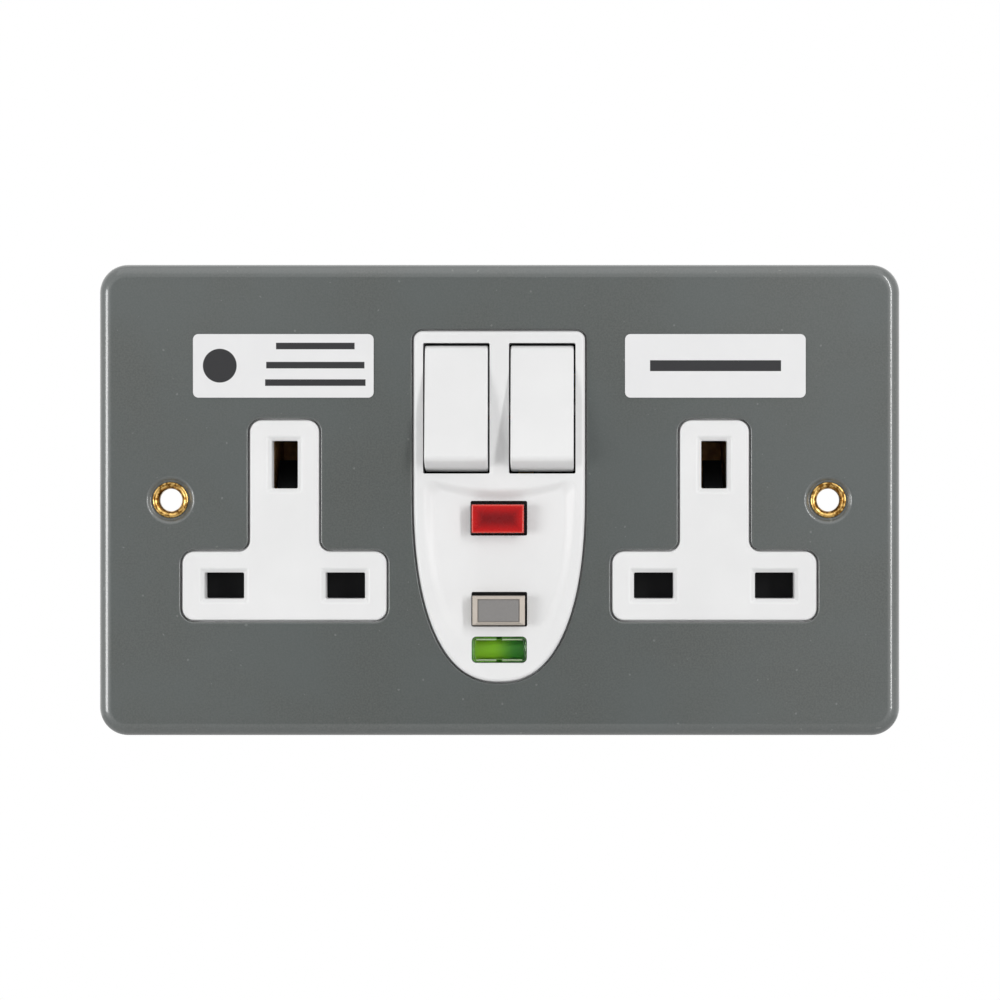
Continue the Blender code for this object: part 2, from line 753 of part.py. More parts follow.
def dish():
    """The scooped lower part: its floor slopes from its deep end under the rockers to the face."""
    slope = DISH_DEPTH / (DISH_TOP - DISH_END)
    edge = []
    for point, normal in tombstone(DISH_TOP + DISH_MARGIN, DISH_CORNER, DISH_LEAN):
        margin = DISH_MARGIN + DISH_TAPER * max(0, DISH_TOP - point.y)
        edge.append((point - margin * normal, normal))
    rings = [level(edge, OVERRUN, PANEL_FACE - OVERRUN)]
    for step in range(BANK_STEPS + 1):
        angle = math.pi / 2 * step / BANK_STEPS
        rings.append(level(edge, -DISH_BANK * step / BANK_STEPS, PANEL_FACE + DISH_DEPTH * math.sin(angle)))
    for ring in rings:
        for point in ring:
            point.y -= (DISH_TOP - point.z) * slope
    return loft(rings)


def rocker(name, side, white, steel, brass):
    """A hollow rocker on a hub with two pivot pins, and a stem that holds a sprung plunger."""
    x = side * ROCKER_SPREAD
    pivot = (x, PIVOT_Y, ROCKER_LEVEL)
    half = ROCKER_OPENING[0] / 2 - ROCKER_SIDE_GAP
    radius = ROCKER_OPENING[1] / 2 - ROCKER_END_GAP
    first, last = math.asin(-ROCKER_SHOULDER / radius), math.asin(ROCKER_SKIRT / radius)
    arc = []
    for step in range(ARC_STEPS + 1):
        angle = first + (last - first) * step / ARC_STEPS
        arc.append((radius * math.sin(angle), radius * math.cos(angle)))
    section = [(-ROCKER_HEIGHT, -ROCKER_FACE_HALF)] + [(y, -z) for y, z in arc]
    section += arc[::-1] + [(-ROCKER_HEIGHT, ROCKER_FACE_HALF)]
    places = [(PIVOT_Y + y, ROCKER_LEVEL + z) for y, z in section]
    made = Piece(name, soften(prism(places, x - half, x + half, "X"), ROCKER_EDGE), white, pivot)
    inside = half - ROCKER_WALL
    roof = PIVOT_Y - ROCKER_HEIGHT + ROCKER_WALL
    length = ROCKER_FACE_HALF - ROCKER_WALL
    made.cut(box(
        (x - inside, roof, ROCKER_LEVEL - length),
        (x + inside, PIVOT_Y + ROCKER_SKIRT + OVERRUN, ROCKER_LEVEL + length),
    ))
    reach = half - ROCKER_WALL / 2
    made.add(rod(HUB_RADIUS, x - reach, x + reach, "X", PIVOT_Y, ROCKER_LEVEL))
    pin = ROCKER_OPENING[0] / 2 + WELL_WALL * 3 / 4
    made.add(rod(PIVOT_RADIUS, x - pin, x + pin, "X", PIVOT_Y, ROCKER_LEVEL))
    end = PIVOT_Y + STEM_REACH
    made.add(rod(STEM_RADIUS, roof - ROCKER_WALL / 2, end, "Y", x, ROCKER_LEVEL))
    bore_floor = PIVOT_Y + HUB_RADIUS + GAP
    bore = PLUNGER_RADIUS + GAP
    made.cut(rod(bore, bore_floor, end + OVERRUN, "Y", x, ROCKER_LEVEL))
    made.turn(-ROCKER_TILT)
    tip = PIVOT_Y + PLUNGER_REACH
    shoulder = bore_floor + (end - bore_floor) / 2
    dome = [
        (PLUNGER_RADIUS * math.cos(a), tip - PLUNGER_RADIUS * (1 - math.sin(a)))
        for a in (0, math.pi / 8, math.pi / 4, math.pi * 7 / 16)
    ]
    Piece(
        f"{name}_plunger", turned([(PLUNGER_RADIUS, shoulder)] + dome, "Y", x, ROCKER_LEVEL),
        brass, pivot, made,
    )
    coil = PLUNGER_RADIUS - PLUNGER_GAUGE
    Piece(f"{name}_spring", spring(
        coil, PLUNGER_GAUGE, SPRING_TURNS, bore_floor + GAP, shoulder - GAP, "Y", x, ROCKER_LEVEL
    ), steel, pivot, made)


def switch_blade(name, side, brass):
    """A see-saw on the busbar's ridge, with a contact rivet at its upper end."""
    x = side * ROCKER_SPREAD
    half = BLADE_WIDTH / 2
    back = RIDGE_Y - RIDGE_RADIUS - GAP
    blade = Piece(name, box(
        (x - half, back - BLADE_THICKNESS, ROCKER_LEVEL - BLADE_LENGTH / 2),
        (x + half, back, ROCKER_LEVEL + BLADE_LENGTH / 2),
    ), brass, (x, RIDGE_Y, ROCKER_LEVEL))
    blade.add(rod(
        RIVET_RADIUS, back - BLADE_THICKNESS / 2, back + RIVET_HEIGHT, "Y", x, ROCKER_LEVEL + RIVET_OFFSET
    ))
    blade.turn(BLADE_TILT)


def cap_face(cap, z, inset):
    """The outline of a cap's face inside a sloping edge, with mitred corners."""
    return rectangle(0, z, cap[0] - 2 * inset, cap[1] - 2 * inset, SLOT_CORNER)


def button(name, cap, edge, z, proud, travel, plastic, steel):
    """A cap on a flange that stops behind the panel, and a stem inside a return spring."""
    outline = rectangle(0, z, *cap, SLOT_CORNER)
    face = PANEL_FACE - proud
    flange = PANEL_INSIDE + GAP
    rings = [level(cap_face(cap, z, edge), 0, face), level(outline, 0, face + edge)]
    made = Piece(name, loft(rings + [level(outline, 0, flange + CAP_FLANGE / 2)]), plastic)
    made.add(slab(outline, flange, flange + CAP_FLANGE, CAP_RIM))
    made.add(rod(BUTTON_STEM, flange + CAP_FLANGE / 2, FRAME_BACK - travel, "Y", 0, z))
    Piece(name.replace("button", "spring"), spring(
        BUTTON_SPRING, BUTTON_GAUGE, SPRING_TURNS, flange + CAP_FLANGE + GAP, FRAME_FRONT - GAP, "Y", 0, z
    ), steel)
    return made


def reset_button(plastic, steel):
    """The reset button's face is sunk inside a sloping frame."""
    made = button(
        "reset_button", RESET_CAP, RESET_FRAME, RESET_LEVEL, RESET_PROUD, RESET_TRAVEL, plastic, steel
    )
    face = PANEL_FACE - RESET_PROUD
    sunk = cap_face(RESET_CAP, RESET_LEVEL, RESET_FRAME + RESET_SUNK)
    made.cut(slab(sunk, face - OVERRUN, face + RESET_SUNK))


def indicator(clear, green):
    """A lens in the panel's window, and behind it a drum whose green or red side shows."""
    outline = rectangle(0, LENS_LEVEL, *LENS_WINDOW, LENS_CORNER)
    flange = PANEL_INSIDE + GAP
    rings = quarter(outline, PANEL_FACE, PANEL_EDGE / 2, -LENS_GAP)
    lens = Piece("indicator_lens", loft(rings + [level(outline, -LENS_GAP, flange + CAP_FLANGE / 2)]), clear)
    lens.add(slab(outline, flange, flange + CAP_FLANGE, CAP_RIM))
    pinion = DRUM_HALF + GAP + PINION_WIDTH
    drum = Piece("indicator_drum", rod(
        DRUM_RADIUS, -DRUM_HALF, DRUM_HALF, "X", DRUM_Y, LENS_LEVEL, FINE_STEPS
    ), green, (0, DRUM_Y, LENS_LEVEL))
    drum.add(rod(PINION_RADIUS, DRUM_HALF - OVERRUN, pinion, "X", DRUM_Y, LENS_LEVEL))
    reach = pinion + 2 * GAP + 2 * DRUM_PIN
    drum.add(rod(DRUM_PIN, -reach, reach, "X", DRUM_Y, LENS_LEVEL, PIN_STEPS))


# Mechanism between the outlets

def mechanism_frame(black):
    """The plate that carries the springs, the drum's ears, the carriage guides and the lever."""
    half = PARTITION_PLACE - PARTITION_WALL / 2 - GAP
    bottom = HOUSING_WALL + GAP - HOUSING_HEIGHT / 2
    frame = Piece("mechanism_frame", box((-half, FRAME_FRONT, bottom), (half, FRAME_BACK, FRAME_TOP)), black)
    for z in (TEST_LEVEL, RESET_LEVEL):
        frame.cut(rod(BUTTON_STEM + GAP, FRAME_FRONT - OVERRUN, FRAME_BACK + OVERRUN, "Y", 0, z))
    right = DRUM_HALF + GAP + PINION_WIDTH + GAP
    frame.cut(box(
        (-DRUM_HALF - GAP, FRAME_FRONT - OVERRUN, bottom + HOUSING_WALL / 2),
        (right, FRAME_BACK + OVERRUN, LENS_LEVEL + DRUM_RADIUS + GAP),
    ))
    ear = 2 * DRUM_PIN
    for low in (-right - ear, right + GAP):
        frame.add(box(
            (low, DRUM_Y - ear, LENS_LEVEL - ear), (low + ear, FRAME_FRONT + OVERRUN, LENS_LEVEL + ear)
        ))
    frame.cut(rod(DRUM_PIN + GAP / 2, -half, half, "X", DRUM_Y, LENS_LEVEL, PIN_STEPS))
    end = CARRIAGE_BACK + CARRIAGE_TRAVEL + CARRIAGE_CLEARANCE
    for side in (-1, 1):
        at = (side * GUIDE_SPREAD, CARRIAGE_LEVEL)
        frame.add(rod(GUIDE_RADIUS, FRAME_BACK - OVERRUN, end, "Y", *at, PIN_STEPS))
    lever_side = COIL_PLACE - LEVER_WIDTH / 2
    frame.cut(box(
        (lever_side - GAP, FRAME_FRONT - OVERRUN, CARRIAGE_LEVEL + LEVER_ARM),
        (lever_side + LEVER_WIDTH + GAP, FRAME_BACK + OVERRUN, BOARD_BOTTOM - LEVER_ARM),
    ))
    frame.add(box(
        (lever_side - GAP - 2 * LEVER_ARM, FRAME_BACK - OVERRUN, LEVER_LEVEL - LEVER_ARM),
        (lever_side - GAP, LEVER_Y + LEVER_ARM, LEVER_LEVEL + LEVER_ARM),
    ))
    pin = (lever_side - GAP - LEVER_ARM, lever_side + LEVER_WIDTH)
    frame.add(rod(LEVER_PIN, *pin, "X", LEVER_Y, LEVER_LEVEL, PIN_STEPS))


def carriage(black, brass):
    """A block on two guides carries the two bridges and the rack that turns the drum."""
    low, high = CARRIAGE_LEVEL - CARRIAGE_HEIGHT / 2, CARRIAGE_LEVEL + CARRIAGE_HEIGHT / 2
    made = Piece("contact_carriage", box(
        (-CARRIAGE_HALF, CARRIAGE_FRONT, low), (CARRIAGE_HALF, CARRIAGE_BACK, high)
    ), black)
    through = (CARRIAGE_FRONT - OVERRUN, CARRIAGE_BACK + OVERRUN)
    for side in (-1, 1):
        at = (side * GUIDE_SPREAD, CARRIAGE_LEVEL)
        made.cut(rod(GUIDE_RADIUS + GAP, *through, "Y", *at, PIN_STEPS))
    rack = LENS_LEVEL + PINION_RADIUS + GAP
    made.add(box(
        (DRUM_HALF + GAP, DRUM_Y - CARRIAGE_TRAVEL, rack),
        (DRUM_HALF + GAP + PINION_WIDTH, CARRIAGE_FRONT + OVERRUN, low + GAP),
    ))
    bar = BRIDGE_FRONT + BLADE_THICKNESS
    reach = BRIDGE_HALF_SPAN + RIVET_RADIUS
    half = STRAP_WIDTH / 2
    for name, side in (("neutral_bridge", -1), ("line_bridge", 1)):
        x = side * BRIDGE_SPREAD
        bridge = Piece(name, box(
            (x - half, BRIDGE_FRONT, CARRIAGE_LEVEL - reach), (x + half, bar, CARRIAGE_LEVEL + reach)
        ), brass)
        for end in (-1, 1):
            bridge.add(rod(
                half - GAP / 2, bar - BLADE_THICKNESS / 2, PAD_FRONT - CARRIAGE_TRAVEL - GAP, "Y",
                x, CARRIAGE_LEVEL + end * BRIDGE_HALF_SPAN,
            ))


def sensing(board_green, ferrite, copper):
    """The board, the toroid that both conductors pass through, and its winding."""
    board = Piece("circuit_board", box(
        (-BOARD_HALF_WIDTH, BOARD_FRONT, BOARD_BOTTOM), (BOARD_HALF_WIDTH, BOARD_BACK, FRAME_TOP)
    ), board_green)
    board.cut(rod(
        BUTTON_STEM, BOARD_FRONT + BOARD_THICKNESS / 2, BOARD_BACK + OVERRUN, "Y", 0, TOROID_LEVEL
    ))
    standoff = 2 * WINDING_WIRE + GAP
    low = BOARD_BACK + GAP + standoff
    high = low + TOROID_HEIGHT
    Piece("toroid_core", turned([
        (TOROID_INNER, low), (TOROID_OUTER, low), (TOROID_OUTER, high), (TOROID_INNER, high),
    ], "Y", 0, TOROID_LEVEL, hollow=True, steps=FINE_STEPS), ferrite)
    middle = (TOROID_INNER + TOROID_OUTER) / 2
    out = middle - TOROID_INNER + WINDING_WIRE + GAP
    up = TOROID_HEIGHT / 2 + WINDING_WIRE + GAP
    corners = ((out, -up), (out, up), (-out, up), (-out, -up))
    points = []
    count = WINDING_TURNS * len(corners)
    for step in range(count):
        across, along = corners[step % len(corners)]
        angle = WINDING_SWEEP * step / count
        radius = middle + across
        points.append(Vector((
            radius * math.cos(angle), (low + high) / 2 + along, TOROID_LEVEL + radius * math.sin(angle)
        )))
    Piece("toroid_winding", wire(points, WINDING_WIRE), copper)


def trip(black, steel):
    """The coil, the plunger that it throws, and the lever that the plunger turns."""
    centre_y = BOARD_BACK + GAP + COIL_RADIUS
    bottom = BOARD_BOTTOM + GAP
    top = bottom + COIL_LENGTH
    rim = COIL_LENGTH / 12
    bore = TRIP_RADIUS + GAP
    Piece("trip_coil", turned([
        (bore, bottom), (COIL_RADIUS, bottom), (COIL_RADIUS, bottom + rim),
        (COIL_RADIUS - rim, bottom + rim), (COIL_RADIUS - rim, top - rim),
        (COIL_RADIUS, top - rim), (COIL_RADIUS, top), (bore, top),
    ], "Z", COIL_PLACE, centre_y, hollow=True), black)
    lever_top = LEVER_LEVEL + LEVER_ARM / 2
    Piece("trip_plunger", rod(
        TRIP_RADIUS, lever_top + GAP, top - COIL_LENGTH / 3, "Z", COIL_PLACE, centre_y
    ), steel, (COIL_PLACE, centre_y, lever_top))
    left, right = COIL_PLACE - LEVER_WIDTH / 2, COIL_PLACE + LEVER_WIDTH / 2
    front = LEVER_Y - LEVER_ARM / 2
    toe = lever_top - LEVER_LENGTH
    arm = LEVER_ARM
    lever = Piece("latch_lever", prism([
        (front, toe), (front + arm, toe), (front + arm, lever_top - arm),
        (centre_y + arm, lever_top - arm), (centre_y + arm, lever_top), (front, lever_top),
    ], left, right, "X"), steel, (COIL_PLACE, LEVER_Y, LEVER_LEVEL))
    lever.add(rod(LEVER_HUB, left, right, "X", LEVER_Y, LEVER_LEVEL, PIN_STEPS))
    lever.cut(rod(LEVER_PIN + GAP, left - GAP, right + GAP, "X", LEVER_Y, LEVER_LEVEL, PIN_STEPS))


# Conductors behind

def line_busbar(brass):
    """Feeds both switch blades from two ridges, and passes through the toroid by a leg."""
    half = STRAP_WIDTH / 2
    reach = ROCKER_SPREAD + BLADE_WIDTH / 2
    bus = Piece("line_busbar", box(
        (-reach, STRAP_FRONT, ROCKER_LEVEL - half), (reach, STRAP_BACK, ROCKER_LEVEL + half)
    ), brass)
    for side in SIDES.values():
        x = side * ROCKER_SPREAD
        bus.add(box(
            (x - BLADE_WIDTH / 2, RIDGE_Y, ROCKER_LEVEL - STRIP),
            (x + BLADE_WIDTH / 2, STRAP_FRONT + STRIP / 2, ROCKER_LEVEL + STRIP),
        ))
        bus.add(rod(
            RIDGE_RADIUS, x - BLADE_WIDTH / 2, x + BLADE_WIDTH / 2, "X", RIDGE_Y, ROCKER_LEVEL
        ))
    output_leg(bus, 1, ROCKER_LEVEL)


def output_leg(bus, side, top):
    """A strip down to the fixed pad, with a side leg through the toroid."""
    x = side * BRIDGE_SPREAD
    half = STRAP_WIDTH / 2
    pad_level = CARRIAGE_LEVEL + BRIDGE_HALF_SPAN
    bus.add(box((x - half, STRAP_FRONT, pad_level - half), (x + half, STRAP_BACK, top)))
    bus.add(rod(half, PAD_FRONT, STRAP_FRONT + STRIP / 2, "Y", x, pad_level))
    inner, outer = sorted((side * (LEG_SPREAD - LEG_SIDE / 2), x))
    low, high = TOROID_LEVEL - LEG_SIDE / 2, TOROID_LEVEL + LEG_SIDE / 2
    bus.add(box((inner, STRAP_FRONT, low), (outer, STRAP_BACK, high)))
    near, far = sorted((side * (LEG_SPREAD - LEG_SIDE / 2), side * (LEG_SPREAD + LEG_SIDE / 2)))
    bus.add(box((near, BOARD_BACK + GAP, low), (far, STRAP_FRONT + STRIP / 2, high)))


def neutral_busbar(brass):
    """Joins the two neutral clips along the bottom of the deck."""
    half = STRAP_WIDTH / 2
    ends = [side * SOCKET_SPACING / 2 - PIN_SPREAD for side in (-1, 1)]
    bus = Piece("neutral_busbar", box(
        (ends[0] - half, STRAP_FRONT, NEUTRAL_LANE - half), (ends[1] + half, STRAP_BACK, NEUTRAL_LANE + half)
    ), brass)
    clip_bottom = PIN_LEVEL - CLIP_OPENING / 2 - STRIP - GAP
    for x in ends:
        bus.add(box((x - half, STRAP_FRONT, NEUTRAL_LANE), (x + half, STRAP_BACK, clip_bottom)))
    x = -BRIDGE_SPREAD
    bus.add(box(
        (x - half, STRAP_FRONT, NEUTRAL_LANE), (x + half, STRAP_BACK, CARRIAGE_LEVEL + BRIDGE_HALF_SPAN)
    ))
    output_leg(bus, -1, TOROID_LEVEL + LEG_SIDE / 2)


def earth_strap(brass):
    half = STRAP_WIDTH / 2
    back = EARTH_STRAP_FRONT + STRIP
    left = TERMINAL_PLACES["earth"] - half
    strap = Piece("earth_strap", box(
        (left, EARTH_STRAP_FRONT, EARTH_LEVEL - half), (SOCKET_SPACING / 2 + half, back, EARTH_LEVEL + half)
    ), brass)
    strap.add(box(
        (left, EARTH_STRAP_FRONT, EARTH_LEVEL - half),
        (left + STRAP_WIDTH, back, TERMINAL_LOW - GAP),
    ))


def terminal(kind, brass, steel):
    """A brass block with a cable bore from above and a clamping screw from behind."""
    x = TERMINAL_PLACES[kind]
    half = TERMINAL_SIZE[0] / 2
    back = FLOOR - GAP
    front = back - TERMINAL_SIZE[1]
    low = TERMINAL_LOW
    high = low + TERMINAL_SIZE[2]
    block = Piece(f"{kind}_terminal", soften(box((x - half, front, low), (x + half, back, high)), GAP), brass)
    middle_y, middle_z = (front + back) / 2, (low + high) / 2
    block.cut(rod(CABLE_BORE, low + CABLE_FLOOR, high + OVERRUN, "Z", x, middle_y))
    block.cut(rod(TERMINAL_SCREW + GAP, middle_y, back + OVERRUN, "Y", x, middle_z))
    screw = Piece(f"{kind}_terminal_screw", turned([
        (TERMINAL_SCREW, middle_y + GAP), (TERMINAL_SCREW, back + GAP),
        (TERMINAL_COLLAR, back + GAP), (TERMINAL_COLLAR, back + HOUSING_WALL / 2),
    ], "Y", x, middle_z), steel)
    reach = TERMINAL_COLLAR + OVERRUN
    screw.cut(box(
        (x - reach, back + HOUSING_WALL / 4, middle_z - STRIP / 2),
        (x + reach, back + HOUSING_WALL, middle_z + STRIP / 2),
    ))
    return block


def supply_strap(block, kind, side):
    """A strap behind the deck from a terminal to the fixed pad under its bridge."""
    x = TERMINAL_PLACES[kind]
    lane = SUPPLY_LANES[kind]
    half = STRAP_WIDTH / 2
    back = SUPPLY_FRONT + STRIP
    end = side * BRIDGE_SPREAD
    pad_level = CARRIAGE_LEVEL - BRIDGE_HALF_SPAN
    block.add(box((x - half, SUPPLY_FRONT, lane - half), (x + half, back, TERMINAL_LOW + GAP)))
    block.add(box((x - half, SUPPLY_FRONT, lane - half), (end + half, back, lane + half)))
    block.add(box((end - half, SUPPLY_FRONT, pad_level - half), (end + half, back, lane)))
    block.add(box(
        (end - SUPPLY_POST, STRAP_FRONT, pad_level - SUPPLY_POST),
        (end + SUPPLY_POST, back, pad_level + SUPPLY_POST),
    ))
    block.add(rod(half, PAD_FRONT, STRAP_FRONT + STRIP / 2, "Y", end, pad_level))


def contact_deck(black):
    """The insulating plate that the clips and busbars lie on."""
    outline = housing_outline()
    deck = Piece("contact_deck", slab(outline, DECK_FRONT, DECK_BACK, -HOUSING_WALL - GAP), black)
    through = (DECK_FRONT - OVERRUN, DECK_BACK + OVERRUN)
    for side in (-1, 1):
        half = STRAP_WIDTH / 2 + GAP
        x = side * SOCKET_SPACING / 2
        deck.cut(box((x - half, through[0], EARTH_LEVEL - half), (x + half, through[1], EARTH_LEVEL + half)))
        x, z = side * BRIDGE_SPREAD, CARRIAGE_LEVEL - BRIDGE_HALF_SPAN
        deck.cut(box((x - half, through[0], z - half), (x + half, through[1], z + half)))
    for x, z in screw_places():
        deck.cut(rod(SCREW_RADIUS + GAP, *through, "Y", x, z))
    half = TERMINAL_SIZE[0] / 2 + GAP
    for x in TERMINAL_PLACES.values():
        deck.cut(box((x - half, through[0], TERMINAL_LOW - GAP), (x + half, through[1], HOUSING_HEIGHT / 2)))


# Rear housing

def housing_outline():
    """A rectangle with a notch at each side, clear of the lugs of the wall box."""
    right, top = HOUSING_WIDTH / 2, HOUSING_HEIGHT / 2
    inner, half = right - NOTCH_DEPTH, NOTCH_HEIGHT / 2
    corner, shoulder, fillet = HOUSING_CORNER, NOTCH_SHOULDER, NOTCH_FILLET
    return rounded([
        (-right, -top, corner), (right, -top, corner), (right, -half, shoulder), (inner, -half, fillet),
        (inner, half, fillet), (right, half, shoulder), (right, top, corner), (-right, top, corner),
        (-right, half, shoulder), (-inner, half, fillet), (-inner, -half, fillet), (-right, -half, shoulder),
    ])


def rear_housing(black):
    outline = housing_outline()
    housing = Piece("rear_housing", slab(outline, HOUSING_FRONT, HOUSING_BACK), black)
    housing.cut(slab(outline, HOUSING_FRONT - OVERRUN, FLOOR, -HOUSING_WALL))
    inside = HOUSING_HEIGHT / 2 - HOUSING_WALL / 2
    for side in (-1, 1):
        middle = side * PARTITION_PLACE
        housing.add(box(
            (middle - PARTITION_WALL / 2, HOUSING_FRONT, -inside),
            (middle + PARTITION_WALL / 2, PARTITION_DEPTH, inside),
        ))
    for x, z in screw_places():
        housing.add(rod(POST_RADIUS, DECK_BACK + GAP, FLOOR + HOUSING_WALL / 2, "Y", x, z))
        housing.cut(rod(SCREW_RADIUS + GAP, DECK_BACK, HOUSING_BACK + OVERRUN, "Y", x, z))
        head = (HOUSING_BACK - SCREW_HEAD[1], HOUSING_BACK + OVERRUN)
        housing.cut(rod(SCREW_HEAD[0] + GAP, *head, "Y", x, z))
    middle_y = FLOOR - GAP - TERMINAL_SIZE[1] / 2
    middle_z = TERMINAL_LOW + TERMINAL_SIZE[2] / 2
    for x in TERMINAL_PLACES.values():
        window = TERMINAL_COLLAR + GAP
        housing.cut(rod(window, FLOOR - OVERRUN, HOUSING_BACK + OVERRUN, "Y", x, middle_z))
        housing.cut(rod(
            CABLE_BORE + GAP, inside - HOUSING_WALL, HOUSING_HEIGHT / 2 + OVERRUN, "Z", x, middle_y
        ))


def housing_screws(steel):
    """Four screws from behind, through the posts and the deck, into studs on the plate."""
    tip = INNER + GAP
    head = HOUSING_BACK - SCREW_HEAD[1] + GAP
    slot = SCREW_HEAD[0] * 2 / 3
    names = [f"{end}_{side}_housing_screw" for side in SIDES for end in ("lower", "upper")]
    for name, (x, z) in zip(names, screw_places()):
        screw = Piece(name, turned([
            (SCREW_RADIUS / 2, tip + GAP), (SCREW_RADIUS, tip + SCREW_RADIUS),
            (SCREW_RADIUS, head), (SCREW_HEAD[0], head),
            (SCREW_HEAD[0], HOUSING_BACK - 2 * GAP), (SCREW_HEAD[0] - GAP, HOUSING_BACK - GAP),
        ], "Y", x, z), steel)
        for across, up in ((slot, STRIP / 2), (STRIP / 2, slot)):
            screw.cut(box(
                (x - across, head + SCREW_HEAD[1] / 3, z - up), (x + across, HOUSING_BACK, z + up)
            ))


def label(name, side, paper):
    outline = rectangle(side * LABEL_PLACE[0], LABEL_PLACE[1], *LABEL_SIZE, LABEL_CORNER)
    Piece(name, slab(outline, FRONT - LABEL_GAP - LABEL_THICKNESS, FRONT - LABEL_GAP), paper)


# Assembly

for item in list(bpy.data.objects):
    bpy.data.objects.remove(item)

grey_steel = finish("grey_powder_coat", (0.115, 0.12, 0.118), 0.45)
white_plastic = finish("white_moulding", (0.8, 0.8, 0.79), 0.35)
black_plastic = finish("black_moulding", (0.012, 0.012, 0.013), 0.5)
yellow_brass = finish("brass", (0.72, 0.45, 0.14), 0.3, 1.0)
bright_steel = finish("spring_steel", (0.55, 0.55, 0.56), 0.3, 1.0)
red_plastic = finish("red_button", (0.55, 0.02, 0.015), 0.3)
grey_plastic = finish("grey_button", (0.26, 0.25, 0.24), 0.4)
clear_plastic = finish("clear_lens", (0.9, 0.95, 0.9), 0.1, 0.0, 0.3)
green_plastic = finish("green_flag", (0.14, 0.36, 0.03), 0.4)
board_green = finish("circuit_board", (0.02, 0.14, 0.05), 0.5)
dark_ferrite = finish("ferrite", (0.03, 0.03, 0.035), 0.6)
copper_wire = finish("enamelled_copper", (0.6, 0.25, 0.1), 0.35, 1.0)
white_paper = finish("label_film", (0.86, 0.86, 0.85), 0.4)

front_plate(grey_steel)
control_panel(white_plastic)
for hand, direction in SIDES.items():
    centre = direction * SOCKET_SPACING / 2
    eyelet(f"{hand}_eyelet", direction * FIXING_SPACING / 2, yellow_brass)
    socket_face(f"{hand}_socket_face", centre, white_plastic)
    shutter(f"{hand}_shutter", centre, black_plastic)
    shutter_spring(f"{hand}_shutter_spring", centre, bright_steel)
    earth_contact(f"{hand}_earth_contact", centre, yellow_brass)
    line_contact(f"{hand}_line_contact", centre + PIN_SPREAD, direction, yellow_brass)
    clip(
        f"{hand}_neutral_contact", centre - PIN_SPREAD, PIN_LEVEL, SHUTTER_BACK + GAP, yellow_brass, False
    )
    rocker(f"{hand}_rocker", direction, white_plastic, bright_steel, yellow_brass)
    switch_blade(f"{hand}_switch_blade", direction, yellow_brass)
    label(f"{hand}_label", direction, white_paper)
button("test_button", TEST_CAP, CAP_EDGE, TEST_LEVEL, TEST_PROUD, TEST_TRAVEL, red_plastic, bright_steel)
reset_button(grey_plastic, bright_steel)
indicator(clear_plastic, green_plastic)
mechanism_frame(black_plastic)
carriage(black_plastic, yellow_brass)
sensing(board_green, dark_ferrite, copper_wire)
trip(black_plastic, bright_steel)
line_busbar(yellow_brass)
neutral_busbar(yellow_brass)
earth_strap(yellow_brass)
supply_strap(terminal("line", yellow_brass, bright_steel), "line", 1)
supply_strap(terminal("neutral", yellow_brass, bright_steel), "neutral", -1)
terminal("earth", yellow_brass, bright_steel)
contact_deck(black_plastic)
rear_housing(black_plastic)
housing_screws(bright_steel)
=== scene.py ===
import json
import math

import bmesh
import bpy
from mathutils import Matrix, Vector


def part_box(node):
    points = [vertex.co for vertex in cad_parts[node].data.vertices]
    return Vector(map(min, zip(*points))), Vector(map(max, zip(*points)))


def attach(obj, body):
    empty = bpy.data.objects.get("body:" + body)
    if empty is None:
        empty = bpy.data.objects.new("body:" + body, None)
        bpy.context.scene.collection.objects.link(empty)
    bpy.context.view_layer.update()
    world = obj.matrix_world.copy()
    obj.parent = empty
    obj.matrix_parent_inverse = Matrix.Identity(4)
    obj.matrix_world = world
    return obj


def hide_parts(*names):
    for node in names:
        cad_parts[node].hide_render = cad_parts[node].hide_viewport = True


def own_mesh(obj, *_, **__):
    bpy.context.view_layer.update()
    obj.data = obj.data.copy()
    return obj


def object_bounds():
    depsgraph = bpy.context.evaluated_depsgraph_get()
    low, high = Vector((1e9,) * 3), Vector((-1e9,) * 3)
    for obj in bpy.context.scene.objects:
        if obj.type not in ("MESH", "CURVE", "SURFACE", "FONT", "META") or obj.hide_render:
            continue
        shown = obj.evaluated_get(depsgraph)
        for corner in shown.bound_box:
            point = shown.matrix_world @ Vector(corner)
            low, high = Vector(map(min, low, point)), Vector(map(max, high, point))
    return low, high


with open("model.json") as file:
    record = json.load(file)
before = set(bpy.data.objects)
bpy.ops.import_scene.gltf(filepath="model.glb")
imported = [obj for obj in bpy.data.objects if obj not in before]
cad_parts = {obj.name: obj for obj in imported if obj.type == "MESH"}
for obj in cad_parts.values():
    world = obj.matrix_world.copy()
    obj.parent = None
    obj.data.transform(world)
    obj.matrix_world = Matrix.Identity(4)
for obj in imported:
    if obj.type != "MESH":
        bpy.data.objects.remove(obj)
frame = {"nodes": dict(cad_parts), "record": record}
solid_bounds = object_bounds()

# The front plate: a shallow tray pressed from one sheet of steel, with two T openings, a
# tombstone opening and two dimpled fixing holes. Its grey powder coat is satin, with a faint
# orange peel and fine flakes. Threaded studs behind it take the housing's screws.

